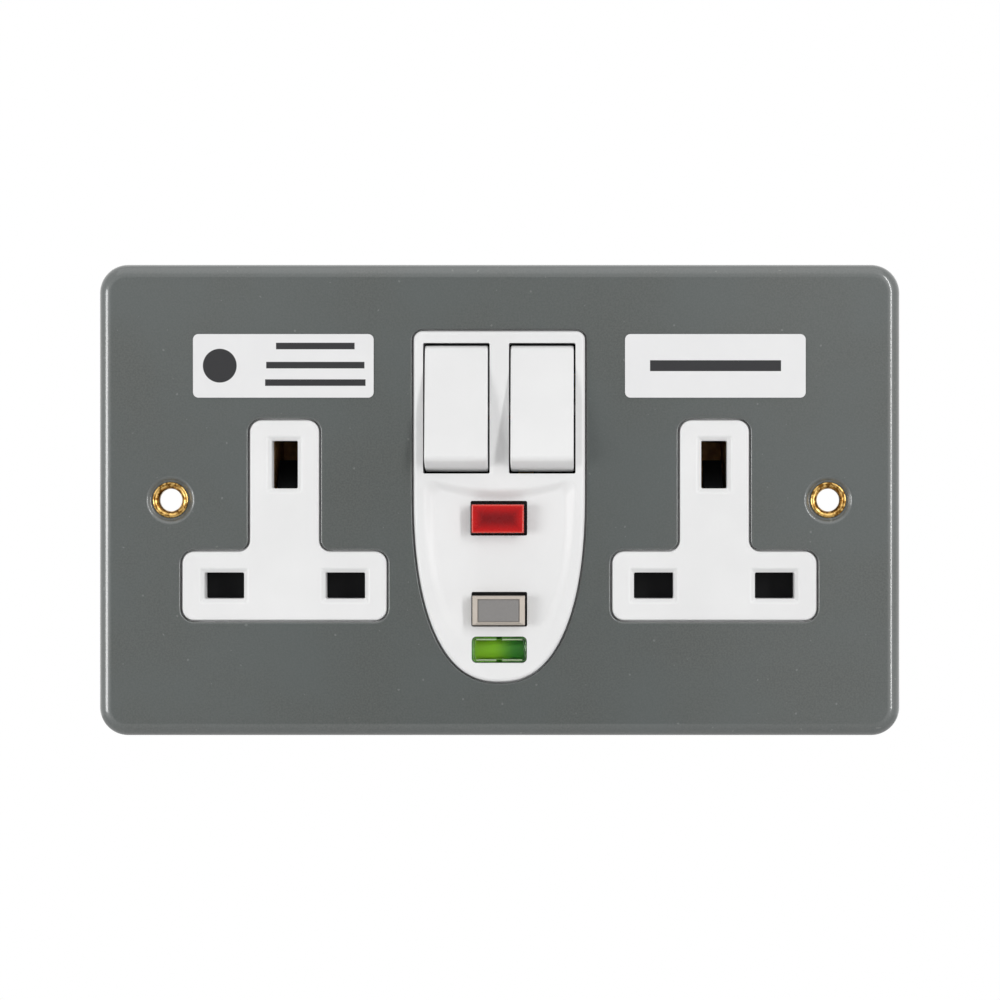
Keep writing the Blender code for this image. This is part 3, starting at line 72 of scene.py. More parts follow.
FRONT = -0.009
SHEET = 0.0012
PLATE_CORNER = 0.0052
PLATE_BEND = 0.0025
OPENING_GAP = 0.0003
OPENING_ROLL = 0.00028
OVERRUN = 0.001
TOUCHING = 1e-6
FIXING_PLACE = 0.0603
DIMPLE_RADIUS = 0.0043
DIMPLE_FLOOR = 0.0036
DIMPLE_DEPTH = 0.0006
DIMPLE_EASE = 0.00045
FIXING_HOLE = 0.002725
STUD_PLACES = [(x, z) for x in (-0.0225, 0.0225) for z in (-0.028, 0.028)]
STUD_RADIUS = 0.0026
STUD_BORE = 0.0018
STUD_LENGTH = 0.0058
OUTLET_PLACE = 0.0394
STEM_HALF = 0.006375
FOOT_HALF = 0.01875
TEE_TOP = 0.01466
TEE_STEP = -0.0094
TEE_BOTTOM = -0.02208
TEE_CORNER = 0.0022
TEE_FILLET = 0.002
PANEL_HALF_WIDTH = 0.01568
PANEL_TOP = 0.03092
PANEL_MIDDLE = 0.00187
PANEL_REACH = 0.03514
PANEL_POWER = 2.4
PANEL_CORNER = 0.0016
PANEL_STEPS = 72
SHARP_ANGLE = math.radians(32)


def loft(*sections, arc_steps=10):
    """A body through flat outlines, each a list of (x, z, radius) corners and its level."""
    bm = bmesh.new()
    faces, rims = [], []
    for corners, level in sections:
        known = set(bm.faces)
        points = [bm.verts.new((x, level, z)) for x, z, _ in corners]
        bm.faces.new(points)
        for radius in sorted({corner[2] for corner in corners if corner[2]}):
            turned = [point for point, corner in zip(points, corners) if corner[2] == radius]
            bmesh.ops.bevel(
                bm, geom=turned, offset=radius, affect="VERTICES", segments=arc_steps, profile=0.5,
                material=-1,
            )
        faces.append(next(face for face in bm.faces if face not in known))
        rims.append(list(faces[-1].edges))
    for first, second in zip(rims, rims[1:]):
        bmesh.ops.bridge_loops(bm, edges=first + second)
    bmesh.ops.delete(bm, geom=faces[1:-1], context="FACES_ONLY")
    bmesh.ops.recalc_face_normals(bm, faces=bm.faces)
    return bm


def prism(corners, front, back, arc_steps=10):
    """A body that has one outline from front to back."""
    return loft((corners, front), (corners, back), arc_steps=arc_steps)


def rectangle(x, z, width, height, radius=0.0):
    """The four corners of a rectangle about a middle."""
    sides = ((-1, -1), (1, -1), (1, 1), (-1, 1))
    return [(x + across * width / 2, z + up * height / 2, radius) for across, up in sides]


def round_bar(x, z, front, back, front_radius, back_radius=None, steps=48):
    """A round bar or cone from front to back."""
    bm = bmesh.new()
    turn = Matrix.Translation((x, (front + back) / 2, z)) @ Matrix.Rotation(math.pi / 2, 4, "X")
    bmesh.ops.create_cone(
        bm, cap_ends=True, segments=steps, radius1=back_radius or front_radius, radius2=front_radius,
        depth=back - front, matrix=turn,
    )
    return bm


def round_edges(bm, at, width, steps, sharper=60.0):
    """Rounds the sharp edges whose two ends both lie where at(point) is true."""
    chosen = [
        edge for edge in bm.edges
        if all(at(end.co) for end in edge.verts) and edge.calc_face_angle(0) > math.radians(sharper)
    ]
    bmesh.ops.bevel(
        bm, geom=chosen, offset=width, affect="EDGES", segments=steps, profile=0.5, material=-1,
        clamp_overlap=True,
    )
    return bm


def on_level(y):
    """A test of whether a point lies at this depth."""
    return lambda point: abs(point.y - y) < TOUCHING


def solid_object(bm):
    """Puts a mesh into the scene as an object."""
    data = bpy.data.meshes.new("blank")
    bm.to_mesh(data)
    bm.free()
    made = bpy.data.objects.new("blank", data)
    bpy.context.scene.collection.objects.link(made)
    return made


def combined(operation, bm, *others):
    """Joins closed meshes to another, or cuts them out of it."""
    blank = solid_object(bm)
    tools = [solid_object(other) for other in others]
    for tool in tools:
        boolean = blank.modifiers.new("boolean", "BOOLEAN")
        boolean.operation = operation
        boolean.object = tool
    result = bmesh.new()
    result.from_object(blank, bpy.context.evaluated_depsgraph_get())
    for used in (blank, *tools):
        bpy.data.objects.remove(used)
    bmesh.ops.remove_doubles(result, verts=result.verts, dist=TOUCHING)
    return result


class Wire:
    """A socket in a finish's node tree, on which Python's operators add Math nodes."""

    def __init__(self, finish, socket):
        self.finish = finish
        self.socket = socket

    def maths(self, operation, *values):
        return self.finish.node("ShaderNodeMath", {"operation": operation}, *values)

    def __add__(self, other):
        return self.maths("ADD", self, other)

    def __radd__(self, other):
        return self.maths("ADD", other, self)

    def __sub__(self, other):
        return self.maths("SUBTRACT", self, other)

    def __rsub__(self, other):
        return self.maths("SUBTRACT", other, self)

    def __mul__(self, other):
        return self.maths("MULTIPLY", self, other)

    def __rmul__(self, other):
        return self.maths("MULTIPLY", other, self)

    def __abs__(self):
        return self.maths("ABSOLUTE", self)

    def least(self, other):
        return self.maths("MINIMUM", self, other)

    def most(self, other):
        return self.maths("MAXIMUM", self, other)

    def ramp(self, low, high):
        """0 at low and 1 at high, smooth between them; low may be the greater."""
        low, high, start, end = (low, high, 0.0, 1.0) if low < high else (high, low, 1.0, 0.0)
        settings = {"interpolation_type": "SMOOTHSTEP"}
        return self.finish.node("ShaderNodeMapRange", settings, self, low, high, start, end)


class Finish:
    """A Principled material, built up node by node."""

    def __init__(self, name):
        self.material = bpy.data.materials.new(name)
        self.material.use_nodes = True
        self.tree = self.material.node_tree
        self.shader = self.tree.nodes["Principled BSDF"]

    def node(self, kind, settings=None, *values, output=0, **named):
        """Adds a node: its settings first, then the values or wires of its sockets."""
        made = self.tree.nodes.new(kind)
        for key, value in (settings or {}).items():
            setattr(made, key, value)
        for socket, value in [*enumerate(values), *named.items()]:
            self.feed(made.inputs[socket], value)
        return Wire(self, made.outputs[output])

    def feed(self, socket, value):
        if isinstance(value, Wire):
            self.tree.links.new(value.socket, socket)
        else:
            socket.default_value = value

    def set(self, **inputs):
        for name, value in inputs.items():
            self.feed(self.shader.inputs[name.replace("_", " ")], value)
        return self

    def place(self):
        """Where a point is on the object, as X, Y and Z in metres."""
        point = self.node("ShaderNodeTexCoord", output="Object")
        split = self.node("ShaderNodeSeparateXYZ", None, point).socket.node
        return [Wire(self, split.outputs[axis]) for axis in "XYZ"]

    def noise(self, grain, detail=2.0, stretch=(1, 1, 1)):
        """Noise from 0 to 1 whose lumps are about a grain across, in metres."""
        point = self.node("ShaderNodeTexCoord", output="Object")
        scale = tuple(part / grain for part in stretch)
        point = self.node("ShaderNodeMapping", None, point, Scale=scale)
        named = {"Scale": 1.0, "Detail": detail, "Roughness": 0.5}
        return self.node("ShaderNodeTexNoise", None, point, **named)

    def mix(self, share, first, second):
        """A colour between two, each an sRGB triple out of 255 or a wire."""
        mixer = self.node("ShaderNodeMix", {"data_type": "RGBA"}, share).socket.node
        for socket, value in ((6, first), (7, second)):
            self.feed(mixer.inputs[socket], value if isinstance(value, Wire) else colour(*value))
        return Wire(self, mixer.outputs[2])

    def bump(self, height, depth):
        """A bump whose full height is depth metres."""
        return self.node("ShaderNodeBump", None, Strength=1.0, Distance=depth, Height=height)


def colour(red, shaded_green, blue):
    """The linear colour of an sRGB one."""
    parts = [part / 255 for part in (red, shaded_green, blue)]
    linear = [p / 12.92 if p <= 0.04045 else ((p + 0.055) / 1.055) ** 2.4 for p in parts]
    return (*linear, 1.0)


record = frame["record"]
slot_of = {part["node"]: part["material_slot"] for part in record["subparts"]}
body_of = {node: body for body, nodes in record["behaviour"]["bodies"].items() for node in nodes}


def fit(bm, name, node, finish, soft=0.0, steps=2):
    """Makes the mesh a piece that stands for a solid and moves with its body; soft rounds it."""
    data = bpy.data.meshes.new(name)
    bm.to_mesh(data)
    bm.free()
    data.materials.append(finish.material)
    data.shade_smooth()
    data.set_sharp_from_angle(angle=SHARP_ANGLE)
    piece = bpy.data.objects.new(name, data)
    bpy.context.scene.collection.objects.link(piece)
    if soft:
        bevel = piece.modifiers.new("edges", "BEVEL")
        bevel.width = soft
        bevel.segments = steps
        bevel.limit_method = "ANGLE"
        bevel.angle_limit = SHARP_ANGLE
    piece.modifiers.new("normals", "WEIGHTED_NORMAL").keep_sharp = True
    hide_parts(node)
    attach(piece, body_of[node])
    return piece


powder = Finish("grey_powder_coat")
flakes = powder.noise(0.00032)
cloud = powder.noise(0.02, 3.0)
peel = powder.noise(0.0012)
specks = powder.noise(0.0009, 0.0)
shade = powder.mix(flakes.ramp(0.3, 0.7), (77, 81, 79), (87, 90, 88))
shade = powder.mix(cloud.ramp(0.3, 0.7) * 0.5, shade, (85, 91, 91))
shade = powder.mix(specks.ramp(0.8, 0.84) * 0.25, shade, (150, 152, 150))
powder.set(
    Base_Color=shade, Roughness=0.32 + 0.1 * flakes, Coat_Weight=1.0, Coat_Roughness=0.12,
    Normal=powder.bump(peel + 0.5 * flakes, 0.000012),
)


def tee(x, stem, foot, top, step, bottom, corner, fillet):
    """An upside-down T, from its two half widths, its three levels and its two radii."""
    return [
        (x - foot, bottom, corner), (x + foot, bottom, corner), (x + foot, step, corner),
        (x + stem, step, fillet), (x + stem, top, corner), (x - stem, top, corner),
        (x - stem, step, fillet), (x - foot, step, corner),
    ]


def island(x, grow=0.0):
    """The outline of an outlet's white face, grown by a gap."""
    return tee(
        x, STEM_HALF + grow, FOOT_HALF + grow, TEE_TOP + grow, TEE_STEP + grow, TEE_BOTTOM - grow,
        TEE_CORNER + grow, TEE_FILLET - grow,
    )


def superellipse(half, middle, reach, steps):
    """Points of the lower half of a superellipse, from its left end to its right."""
    power = 2 / PANEL_POWER
    for step in range(steps + 1):
        along, down = math.cos(math.pi * step / steps), max(0, math.sin(math.pi * step / steps))
        yield -half * math.copysign(abs(along) ** power, along), middle - reach * down ** power


def tombstone(grow=0.0):
    """The control panel's outline: a superellipse below, and two rounded corners above."""
    half, top, corner = PANEL_HALF_WIDTH + grow, PANEL_TOP + grow, PANEL_CORNER + grow
    curve = superellipse(half, PANEL_MIDDLE, PANEL_REACH + grow, PANEL_STEPS)
    return [(x, z, 0) for x, z in curve] + [(half, top, corner), (-half, top, corner)]


width, height = (solid_bounds[1][axis] - solid_bounds[0][axis] for axis in (0, 2))
inside = FRONT + SHEET
outer = rectangle(0, 0, width, height, PLATE_CORNER)
inner = rectangle(0, 0, width - 2 * SHEET, height - 2 * SHEET, PLATE_CORNER - SHEET)
plate = prism(outer, FRONT, 0, arc_steps=16)
round_edges(plate, on_level(FRONT), PLATE_BEND, steps=10)
hollow = prism(inner, inside, OVERRUN, arc_steps=16)
round_edges(hollow, on_level(inside), PLATE_BEND - SHEET, steps=8)
plate = combined("DIFFERENCE", plate, hollow)
added, removed = [], []
for x in (-FIXING_PLACE, FIXING_PLACE):
    behind = (inside - SHEET / 2, inside + DIMPLE_DEPTH)
    added.append(round_bar(x, 0, *behind, DIMPLE_RADIUS + SHEET, DIMPLE_FLOOR + SHEET / 2))
    mouth = DIMPLE_RADIUS + (DIMPLE_RADIUS - DIMPLE_FLOOR) / DIMPLE_DEPTH * OVERRUN
    dimple = (FRONT - OVERRUN, FRONT + DIMPLE_DEPTH)
    removed.append(round_bar(x, 0, *dimple, mouth, DIMPLE_FLOOR, steps=96))
    removed.append(round_bar(x, 0, FRONT, 0, FIXING_HOLE))
for x, z in STUD_PLACES:
    added.append(round_bar(x, z, inside - SHEET / 2, inside + STUD_LENGTH, STUD_RADIUS))
    removed.append(round_bar(x, z, inside, inside + STUD_LENGTH + OVERRUN, STUD_BORE))
for x in (-OUTLET_PLACE, OUTLET_PLACE):
    removed.append(prism(island(x, OPENING_GAP), FRONT - OVERRUN, inside + OVERRUN))
removed.append(prism(tombstone(OPENING_GAP), FRONT - OVERRUN, inside + OVERRUN))
plate = combined("UNION", plate, *added)
plate = combined("DIFFERENCE", plate, *removed)
round_edges(plate, on_level(FRONT), OPENING_ROLL, steps=5)
round_edges(plate, on_level(FRONT), DIMPLE_EASE, steps=4, sharper=25)
round_edges(plate, on_level(FRONT + DIMPLE_DEPTH), DIMPLE_EASE / 2, steps=3, sharper=25)
fit(plate, "pressed_plate", "front_plate", powder)

# The two outlets: white urea mouldings that fill the T openings from behind, each with three
# pin slots whose mouths are chamfered. They are glossy, with a very fine texture.

ISLAND_FACE = -0.0088
ISLAND_EDGE = 0.0004
BASE_FRONT = -0.0075
BASE_BACK = -0.0055
BASE_LIP = 0.0014
BASE_SHOULDER = 0.005
BASE_FILLET = 0.001
GUIDE_BACK = -0.0036
GUIDE_WALL = 0.0012
PIN_SPREAD = 0.0111
PIN_LEVEL = -0.0157
EARTH_LEVEL = 0.0065
POWER_SLOT = (0.00725, 0.0048)
EARTH_SLOT = (0.00475, 0.00875)
SLOT_LEAD = 0.0008
SLOT_CORNER = 0.0003
LEAD_EDGE = 0.00025

white = Finish("white_moulding")
grain = white.noise(0.0004)
drift = white.noise(0.02, 3.0)
white.set(
    Base_Color=white.mix(drift.ramp(0.3, 0.7), (221, 221, 221), (226, 226, 226)),
    Roughness=0.36 + 0.1 * grain + 0.06 * drift, Coat_Weight=0.06, Coat_Roughness=0.15,
    Normal=white.bump(grain + drift, 0.000005),
)


def slot_cutter(x, z, width, height):
    """A pin slot with its widening mouth in front."""
    lead = 2 * (SLOT_LEAD + OVERRUN)
    slot = rectangle(x, z, width, height, SLOT_CORNER)
    mouth = rectangle(x, z, width + lead, height + lead, SLOT_CORNER)
    return loft(
        (mouth, ISLAND_FACE - OVERRUN), (slot, ISLAND_FACE + SLOT_LEAD), (slot, GUIDE_BACK + OVERRUN),
    )


for side, x in (("left", -OUTLET_PLACE), ("right", OUTLET_PLACE)):
    outlet = prism(island(x), ISLAND_FACE, BASE_FRONT + OVERRUN)
    round_edges(outlet, on_level(ISLAND_FACE), ISLAND_EDGE, steps=5)
    base = prism(tee(
        x, STEM_HALF + BASE_SHOULDER, FOOT_HALF + BASE_LIP, TEE_TOP + BASE_LIP, TEE_STEP + BASE_LIP,
        TEE_BOTTOM - BASE_LIP, TEE_CORNER, BASE_FILLET,
    ), BASE_FRONT, BASE_BACK)
    slots = [
        (x - PIN_SPREAD, PIN_LEVEL, *POWER_SLOT), (x + PIN_SPREAD, PIN_LEVEL, *POWER_SLOT),
        (x, EARTH_LEVEL, *EARTH_SLOT),
    ]
    guides = []
    for across, up, wide, high in slots:
        outline = rectangle(across, up, wide + 2 * GUIDE_WALL, high + 2 * GUIDE_WALL)
        guides.append(prism(outline, BASE_BACK - OVERRUN / 2, GUIDE_BACK))
    outlet = combined("UNION", outlet, base, *guides)
    outlet = combined("DIFFERENCE", outlet, *(slot_cutter(*slot) for slot in slots))
    round_edges(outlet, on_level(ISLAND_FACE), LEAD_EDGE, steps=3, sharper=30)
    fit(outlet, f"{side}_outlet", f"{side}_socket_face", white, soft=0.0001)

# The control panel between the outlets: one white moulding, a little proud of the plate, with
# wells for the rockers, a scooped lower part round the buttons and a window for the lens.

PANEL_FACE = -0.0098
PANEL_EDGE = 0.0007
PANEL_INSIDE = -0.0076
PANEL_SIDE = 0.0014
PANEL_LIP = 0.0016
ROCKER_SPREAD = 0.00786
ROCKER_LEVEL = 0.0168
ROCKER_OPENING = (0.0122, 0.02392)
WELL_WALL = 0.0014
WELL_BACK = -0.0034
PIVOT_Y = -0.00593
PIVOT_HOLE = 0.0015
PIVOT_REACH = 0.01636
TEST_HOLE = (-0.0001, -0.00334, 0.0104, 0.00636)
RESET_HOLE = (0, -0.02, 0.0102, 0.00635)
LENS_WINDOW = (0, -0.0274, 0.0101, 0.00483)
LENS_CORNER = 0.0009
HOLE_CORNER = 0.0003
DISH_HALF_WIDTH = 0.01418
DISH_REACH = 0.0308
DISH_TOP = 0.0044
DISH_SAG = 0.0021
DISH_CORNER = 0.0022
DISH_SAG_START = 1.1 * DISH_CORNER
DISH_DEPTH = 0.0011
DISH_BANK = 0.0024
DISH_END = -0.029
DISH_STEPS = 12
DISH_TOP_STEPS = 20
DISH_OUTLINE_STEPS = 60


def dish_outline(inset):
    """The scoop's outline, whose top sags between its corners, drawn in by an inset."""
    half, reach = DISH_HALF_WIDTH - inset, DISH_REACH - 2 * inset
    curve = superellipse(half, PANEL_MIDDLE - inset, reach, DISH_OUTLINE_STEPS)
    top = DISH_TOP - inset
    points = [(x, z, 0) for x, z in curve] + [(half, top, DISH_CORNER)]
    for step in range(DISH_TOP_STEPS + 1):
        across = (half - DISH_SAG_START) * (1 - 2 * step / DISH_TOP_STEPS)
        points.append((across, top - DISH_SAG * (1 - (across / half) ** 2), 0))
    points.append((-half, top, DISH_CORNER))
    return points


def dish():
    """The scoop: its banks are soft, and its floor climbs from the rockers down to the face."""
    sections = [(dish_outline(0), PANEL_FACE - 2 * OVERRUN)]
    for step in range(DISH_STEPS + 1):
        down = (1 - math.cos(math.pi * step / DISH_STEPS)) / 2
        sections.append((dish_outline(DISH_BANK * step / DISH_STEPS), PANEL_FACE + DISH_DEPTH * down))
    scoop = loft(*sections)
    for point in scoop.verts:
        below_face = point.co.y - PANEL_FACE
        if below_face > 0:
            point.co.y = PANEL_FACE + below_face * (point.co.z - DISH_END) / (DISH_TOP - DISH_END)
        elif below_face > -OVERRUN:
            point.co.y -= 2 * TOUCHING
    return scoop


panel = prism(tombstone(), PANEL_FACE, BASE_BACK)
round_edges(panel, on_level(PANEL_FACE), PANEL_EDGE, steps=6)
lip = prism(tombstone(PANEL_LIP), BASE_FRONT, BASE_BACK)
pocket = prism(tombstone(-PANEL_SIDE), PANEL_INSIDE, BASE_BACK + OVERRUN)
well_size = (2 * (ROCKER_SPREAD + WELL_WALL) + ROCKER_OPENING[0], ROCKER_OPENING[1] + 2 * WELL_WALL)
wells = prism(rectangle(0, ROCKER_LEVEL, *well_size), PANEL_INSIDE - OVERRUN, WELL_BACK)
panel = combined("UNION", panel, lip)
panel = combined("DIFFERENCE", panel, pocket, dish())
panel = combined("UNION", panel, wells)
through = (PANEL_FACE - OVERRUN, WELL_BACK + OVERRUN)
holes = [
    prism(rectangle(*hole, HOLE_CORNER), *through, arc_steps=4)
    for hole in (
        (-ROCKER_SPREAD, ROCKER_LEVEL, *ROCKER_OPENING), (ROCKER_SPREAD, ROCKER_LEVEL, *ROCKER_OPENING),
        TEST_HOLE, RESET_HOLE,
    )
]
holes.append(prism(rectangle(*LENS_WINDOW, LENS_CORNER), *through, arc_steps=8))
pivots = round_bar(0, 0, -PIVOT_REACH, PIVOT_REACH, PIVOT_HOLE, steps=24)
turn = Matrix.Translation((0, PIVOT_Y, ROCKER_LEVEL)) @ Matrix.Rotation(math.pi / 2, 4, "Z")
bmesh.ops.transform(pivots, matrix=turn, verts=pivots.verts)
panel = combined("DIFFERENCE", panel, *holes, pivots)
fit(panel, "panel", "control_panel", white, soft=0.00012, steps=3)

# The two rocker switches: hollow white mouldings on pivot pins, shown off, top pressed in.
# Each has a hub across its hollow and a stem behind it, bored for a sprung plunger.

ROCKER_HALF = 0.00577
ROCKER_RADIUS = 0.0116
ROCKER_FACE_HALF = 0.01065
ROCKER_HEIGHT = 0.0055
ROCKER_SHOULDER = 0.0019
ROCKER_SKIRT = 0.0015
ROCKER_WALL = 0.0014
ROCKER_ROUND = 0.0009
ROCKER_EDGE = 0.0003
ROCKER_TILT = math.radians(-10)
ROCKER_ARC_STEPS = 6
HUB_RADIUS = 0.0022
PIN_RADIUS = 0.0012
PIN_REACH = 0.00715
ROCKER_STEM = 0.0026
ROCKER_STEM_END = 0.0085
PLUNGER_BORE = 0.0017
SIDEWAYS = Matrix.Rotation(math.pi / 2, 4, "Z")

rocker_arc = []
start, end = (math.asin(depth / ROCKER_RADIUS) for depth in (-ROCKER_SHOULDER, ROCKER_SKIRT))
for step in range(ROCKER_ARC_STEPS + 1):
    angle = start + (end - start) * step / ROCKER_ARC_STEPS
    rocker_arc.append((ROCKER_RADIUS * math.sin(angle), ROCKER_RADIUS * math.cos(angle)))
section = [(-ROCKER_HEIGHT, -ROCKER_FACE_HALF, ROCKER_ROUND)]
section += [(y, -z, 0) for y, z in rocker_arc] + [(y, z, 0) for y, z in reversed(rocker_arc)]
section.append((-ROCKER_HEIGHT, ROCKER_FACE_HALF, ROCKER_ROUND))
roof = ROCKER_WALL - ROCKER_HEIGHT
length = ROCKER_FACE_HALF - ROCKER_WALL
room = rectangle((roof + ROCKER_SKIRT + OVERRUN) / 2, 0, ROCKER_SKIRT + OVERRUN - roof, 2 * length)
hub_reach = ROCKER_HALF - ROCKER_WALL / 2
for side, x in (("left", -ROCKER_SPREAD), ("right", ROCKER_SPREAD)):
    rocker = prism(section, -ROCKER_HALF, ROCKER_HALF)
    for flank in (-ROCKER_HALF, ROCKER_HALF):
        round_edges(rocker, on_level(flank), ROCKER_EDGE, steps=4)
    hollow = prism(room, ROCKER_WALL - ROCKER_HALF, ROCKER_HALF - ROCKER_WALL)
    hub = round_bar(0, 0, -hub_reach, hub_reach, HUB_RADIUS)
    pins = round_bar(0, 0, -PIN_REACH, PIN_REACH, PIN_RADIUS)
    rocker = combined("UNION", combined("DIFFERENCE", rocker, hollow), hub, pins)
    bmesh.ops.transform(rocker, matrix=SIDEWAYS, verts=rocker.verts)
    stem = round_bar(0, 0, roof - ROCKER_WALL / 2, ROCKER_STEM_END, ROCKER_STEM)
    rocker = combined("UNION", rocker, stem)
    bore = round_bar(0, 0, HUB_RADIUS + OPENING_GAP, ROCKER_STEM_END + OVERRUN, PLUNGER_BORE)
    rocker = combined("DIFFERENCE", rocker, bore)
    turn = Matrix.Translation((x, PIVOT_Y, ROCKER_LEVEL)) @ Matrix.Rotation(ROCKER_TILT, 4, "X")
    bmesh.ops.transform(rocker, matrix=turn, verts=rocker.verts)
    fit(rocker, f"{side}_switch", f"{side}_rocker", white, soft=0.0001)

# The test button: a small cap in translucent red, on a stem inside a return spring. Light
# gathers in its edges, so they are brighter than the middle of its face.

TEST_MIDDLE = (-0.00025, -0.00342)
TEST_CAP = (0.00955, 0.0052)
TEST_FACE = -0.0113
TEST_EDGE = 0.0003
TEST_STEM_END = 0.0
TEST_SHADOW = (-0.0112, -0.0099)
GLOW_REACH = 0.0026
GLOW_LINE = (0.0005, 0.0001)
FLANGE = (-0.0073, -0.0063)
FLANGE_RIM = 0.0007
STEM_RADIUS = 0.0013

red = Finish("translucent_red")
x, y, z = red.place()
across = TEST_CAP[0] / 2 - abs(x - TEST_MIDDLE[0])
up = TEST_CAP[1] / 2 - abs(z - TEST_MIDDLE[1])
rim = across.least(up)
swirl = red.noise(0.0015, 3.0)
shade = red.mix((rim + 0.0003 * swirl).ramp(0.0, GLOW_REACH), (188, 22, 24), (118, 10, 16))
shade = red.mix(rim.ramp(*GLOW_LINE) * 0.7, shade, (216, 58, 40))
shade = red.mix(y.ramp(*TEST_SHADOW), shade, (26, 2, 4))
red.set(
    Base_Color=shade, Roughness=0.22 + 0.1 * swirl, Coat_Weight=0.3, Coat_Roughness=0.1,
    Normal=red.bump(swirl, 0.00001),
)


def cap(middle, size, face, stem_end, edge, steps):
    """A cap with its edge chamfered or rounded, a flange behind the panel and a stem."""
    made = prism(rectangle(*middle, *size), face, FLANGE[0] + OVERRUN / 2)
    round_edges(made, on_level(face), edge, steps)
    rim = [part + 2 * FLANGE_RIM for part in size]
    flange = prism(rectangle(*middle, *rim), *FLANGE)
    stem = round_bar(0, middle[1], FLANGE[0], stem_end, STEM_RADIUS)
    return combined("UNION", made, flange, stem)


test = cap(TEST_MIDDLE, TEST_CAP, TEST_FACE, TEST_STEM_END, TEST_EDGE, steps=3)
fit(test, "test_cap", "test_button", red, soft=0.00005)

# The reset button: a grey cap with a sloping frame round a face that lies in a fine groove. It
# stands further out than the test button, and has the same flange and stem behind the panel.
# Its frame is painted lighter than its face as a painted highlight, and its sides painted dark.

RESET_MIDDLE = (-0.00008, -0.02018)
RESET_CAP = (0.00956, 0.00535)
RESET_FACE = -0.0122
RESET_STEM_END = -0.0005
RESET_SHADOW = (-0.0104, -0.0096)
RESET_FRAME = (0.0009, 0.00052)
GROOVE = 0.00014
GROOVE_DEPTH = 0.0003

grey = Finish("grey_cap")
x, y, z = grey.place()
across = RESET_CAP[0] / 2 - abs(x - RESET_MIDDLE[0])
up = RESET_CAP[1] / 2 - abs(z - RESET_MIDDLE[1])
grain = grey.noise(0.0005)
# painted highlight: the sloping frame is coloured a light beige, far lighter than the grey face
frame_highlight = across.ramp(RESET_FRAME[0] + GROOVE, RESET_FRAME[0]).most(
    up.ramp(RESET_FRAME[1] + GROOVE, RESET_FRAME[1])
)
shade = grey.mix(grain, (124, 122, 121), (132, 130, 128))
shade = grey.mix(frame_highlight, shade, (196, 186, 175))
shade = grey.mix(y.ramp(*RESET_SHADOW), shade, (24, 22, 20))
grey.set(Base_Color=shade, Roughness=0.36 + 0.12 * grain, Normal=grey.bump(grain, 0.00001))
reset = cap(RESET_MIDDLE, RESET_CAP, RESET_FACE, RESET_STEM_END, RESET_FRAME[0], steps=1)
face = [part for part in reset.faces if on_level(RESET_FACE)(part.calc_center_median())]
taller = (RESET_CAP[1] - 2 * RESET_FRAME[1]) / (RESET_CAP[1] - 2 * RESET_FRAME[0])
bmesh.ops.scale(
    reset, vec=(1, 1, taller), space=Matrix.Translation((0, 0, -RESET_MIDDLE[1])),
    verts=[point for part in face for point in part.verts],
)
for thickness, depth in ((GROOVE / 4, -GROOVE_DEPTH), (GROOVE, 0), (GROOVE / 4, GROOVE_DEPTH / 2)):
    bmesh.ops.inset_region(reset, faces=face, thickness=thickness, depth=depth, use_even_offset=True)
fit(reset, "reset_cap", "reset_button", grey, soft=0.00004)

# The indicator: a clear lens snapped into the panel, and behind it a drum with a green and a
# red quarter, which the contact carriage turns.

LENS_FACE = -0.0098
LENS_GAP = 0.00012
LENS_ROUND = 0.0003
LENS_BEAD = 0.00012
LENS_GROOVE = 0.0001
NOTCH_RADIUS = 0.0005
NOTCH_DEPTH = 0.0006
GLINT_SPAN = (0.0004, 0.00068)
GLINT_BREAK = (0.0005, 0.0006)
GLINT_END = (0.0043, 0.0041)
GLINT_BLUR = 0.00004

clear = Finish("clear_lens")
x, _, z = clear.place()
across = LENS_WINDOW[2] / 2 - abs(x)
up = LENS_WINDOW[3] / 2 - abs(z - LENS_WINDOW[1])
edge = across.least(up)
haze = clear.noise(0.0008)
glint = up.ramp(GLINT_SPAN[0], GLINT_SPAN[0] + GLINT_BLUR)
glint = glint * up.ramp(GLINT_SPAN[1], GLINT_SPAN[1] - GLINT_BLUR)
glint = glint * abs(x).ramp(*GLINT_BREAK) * abs(x).ramp(*GLINT_END)
shade = clear.mix(edge.ramp(0.0008, 0.0003), (250, 255, 245), (120, 190, 90))
clear.set(
    Base_Color=clear.mix(glint, shade, (214, 232, 200)), Metallic=glint, Roughness=0.06 + 0.06 * haze,
    Transmission_Weight=1.0, IOR=1.46,
)
size = [part - 2 * LENS_GAP for part in LENS_WINDOW[2:]]
outline = rectangle(0, LENS_WINDOW[1], *size, LENS_CORNER)
lens = prism(outline, LENS_FACE, FLANGE[0] + OVERRUN / 2, arc_steps=8)
round_edges(lens, on_level(LENS_FACE), LENS_ROUND, steps=4)
face = [part for part in lens.faces if on_level(LENS_FACE)(part.calc_center_median())]
for thickness, depth in ((LENS_BEAD, -LENS_GROOVE), (LENS_BEAD, LENS_GROOVE)):
    bmesh.ops.inset_region(lens, faces=face, thickness=thickness, depth=depth, use_even_offset=True)
rim = [part + 2 * FLANGE_RIM for part in LENS_WINDOW[2:]]
flange = prism(rectangle(0, LENS_WINDOW[1], *rim, LENS_CORNER), *FLANGE, arc_steps=8)
lens = combined("UNION", lens, flange)
notch = (LENS_FACE - OVERRUN, LENS_FACE + NOTCH_DEPTH, NOTCH_RADIUS)
notches = [round_bar(0, LENS_WINDOW[1] + side * size[1] / 2, *notch) for side in (-1, 1)]
lens = combined("DIFFERENCE", lens, *notches)
fit(lens, "lens", "indicator_lens", clear, soft=0.00005)

DRUM_Y = -0.0025
FLAG_SHADE_FADE = (-0.002, 0.003)
FLAG_BLUR = (-0.0001, 0.0001)
SKIN_EDGE = 0.00008

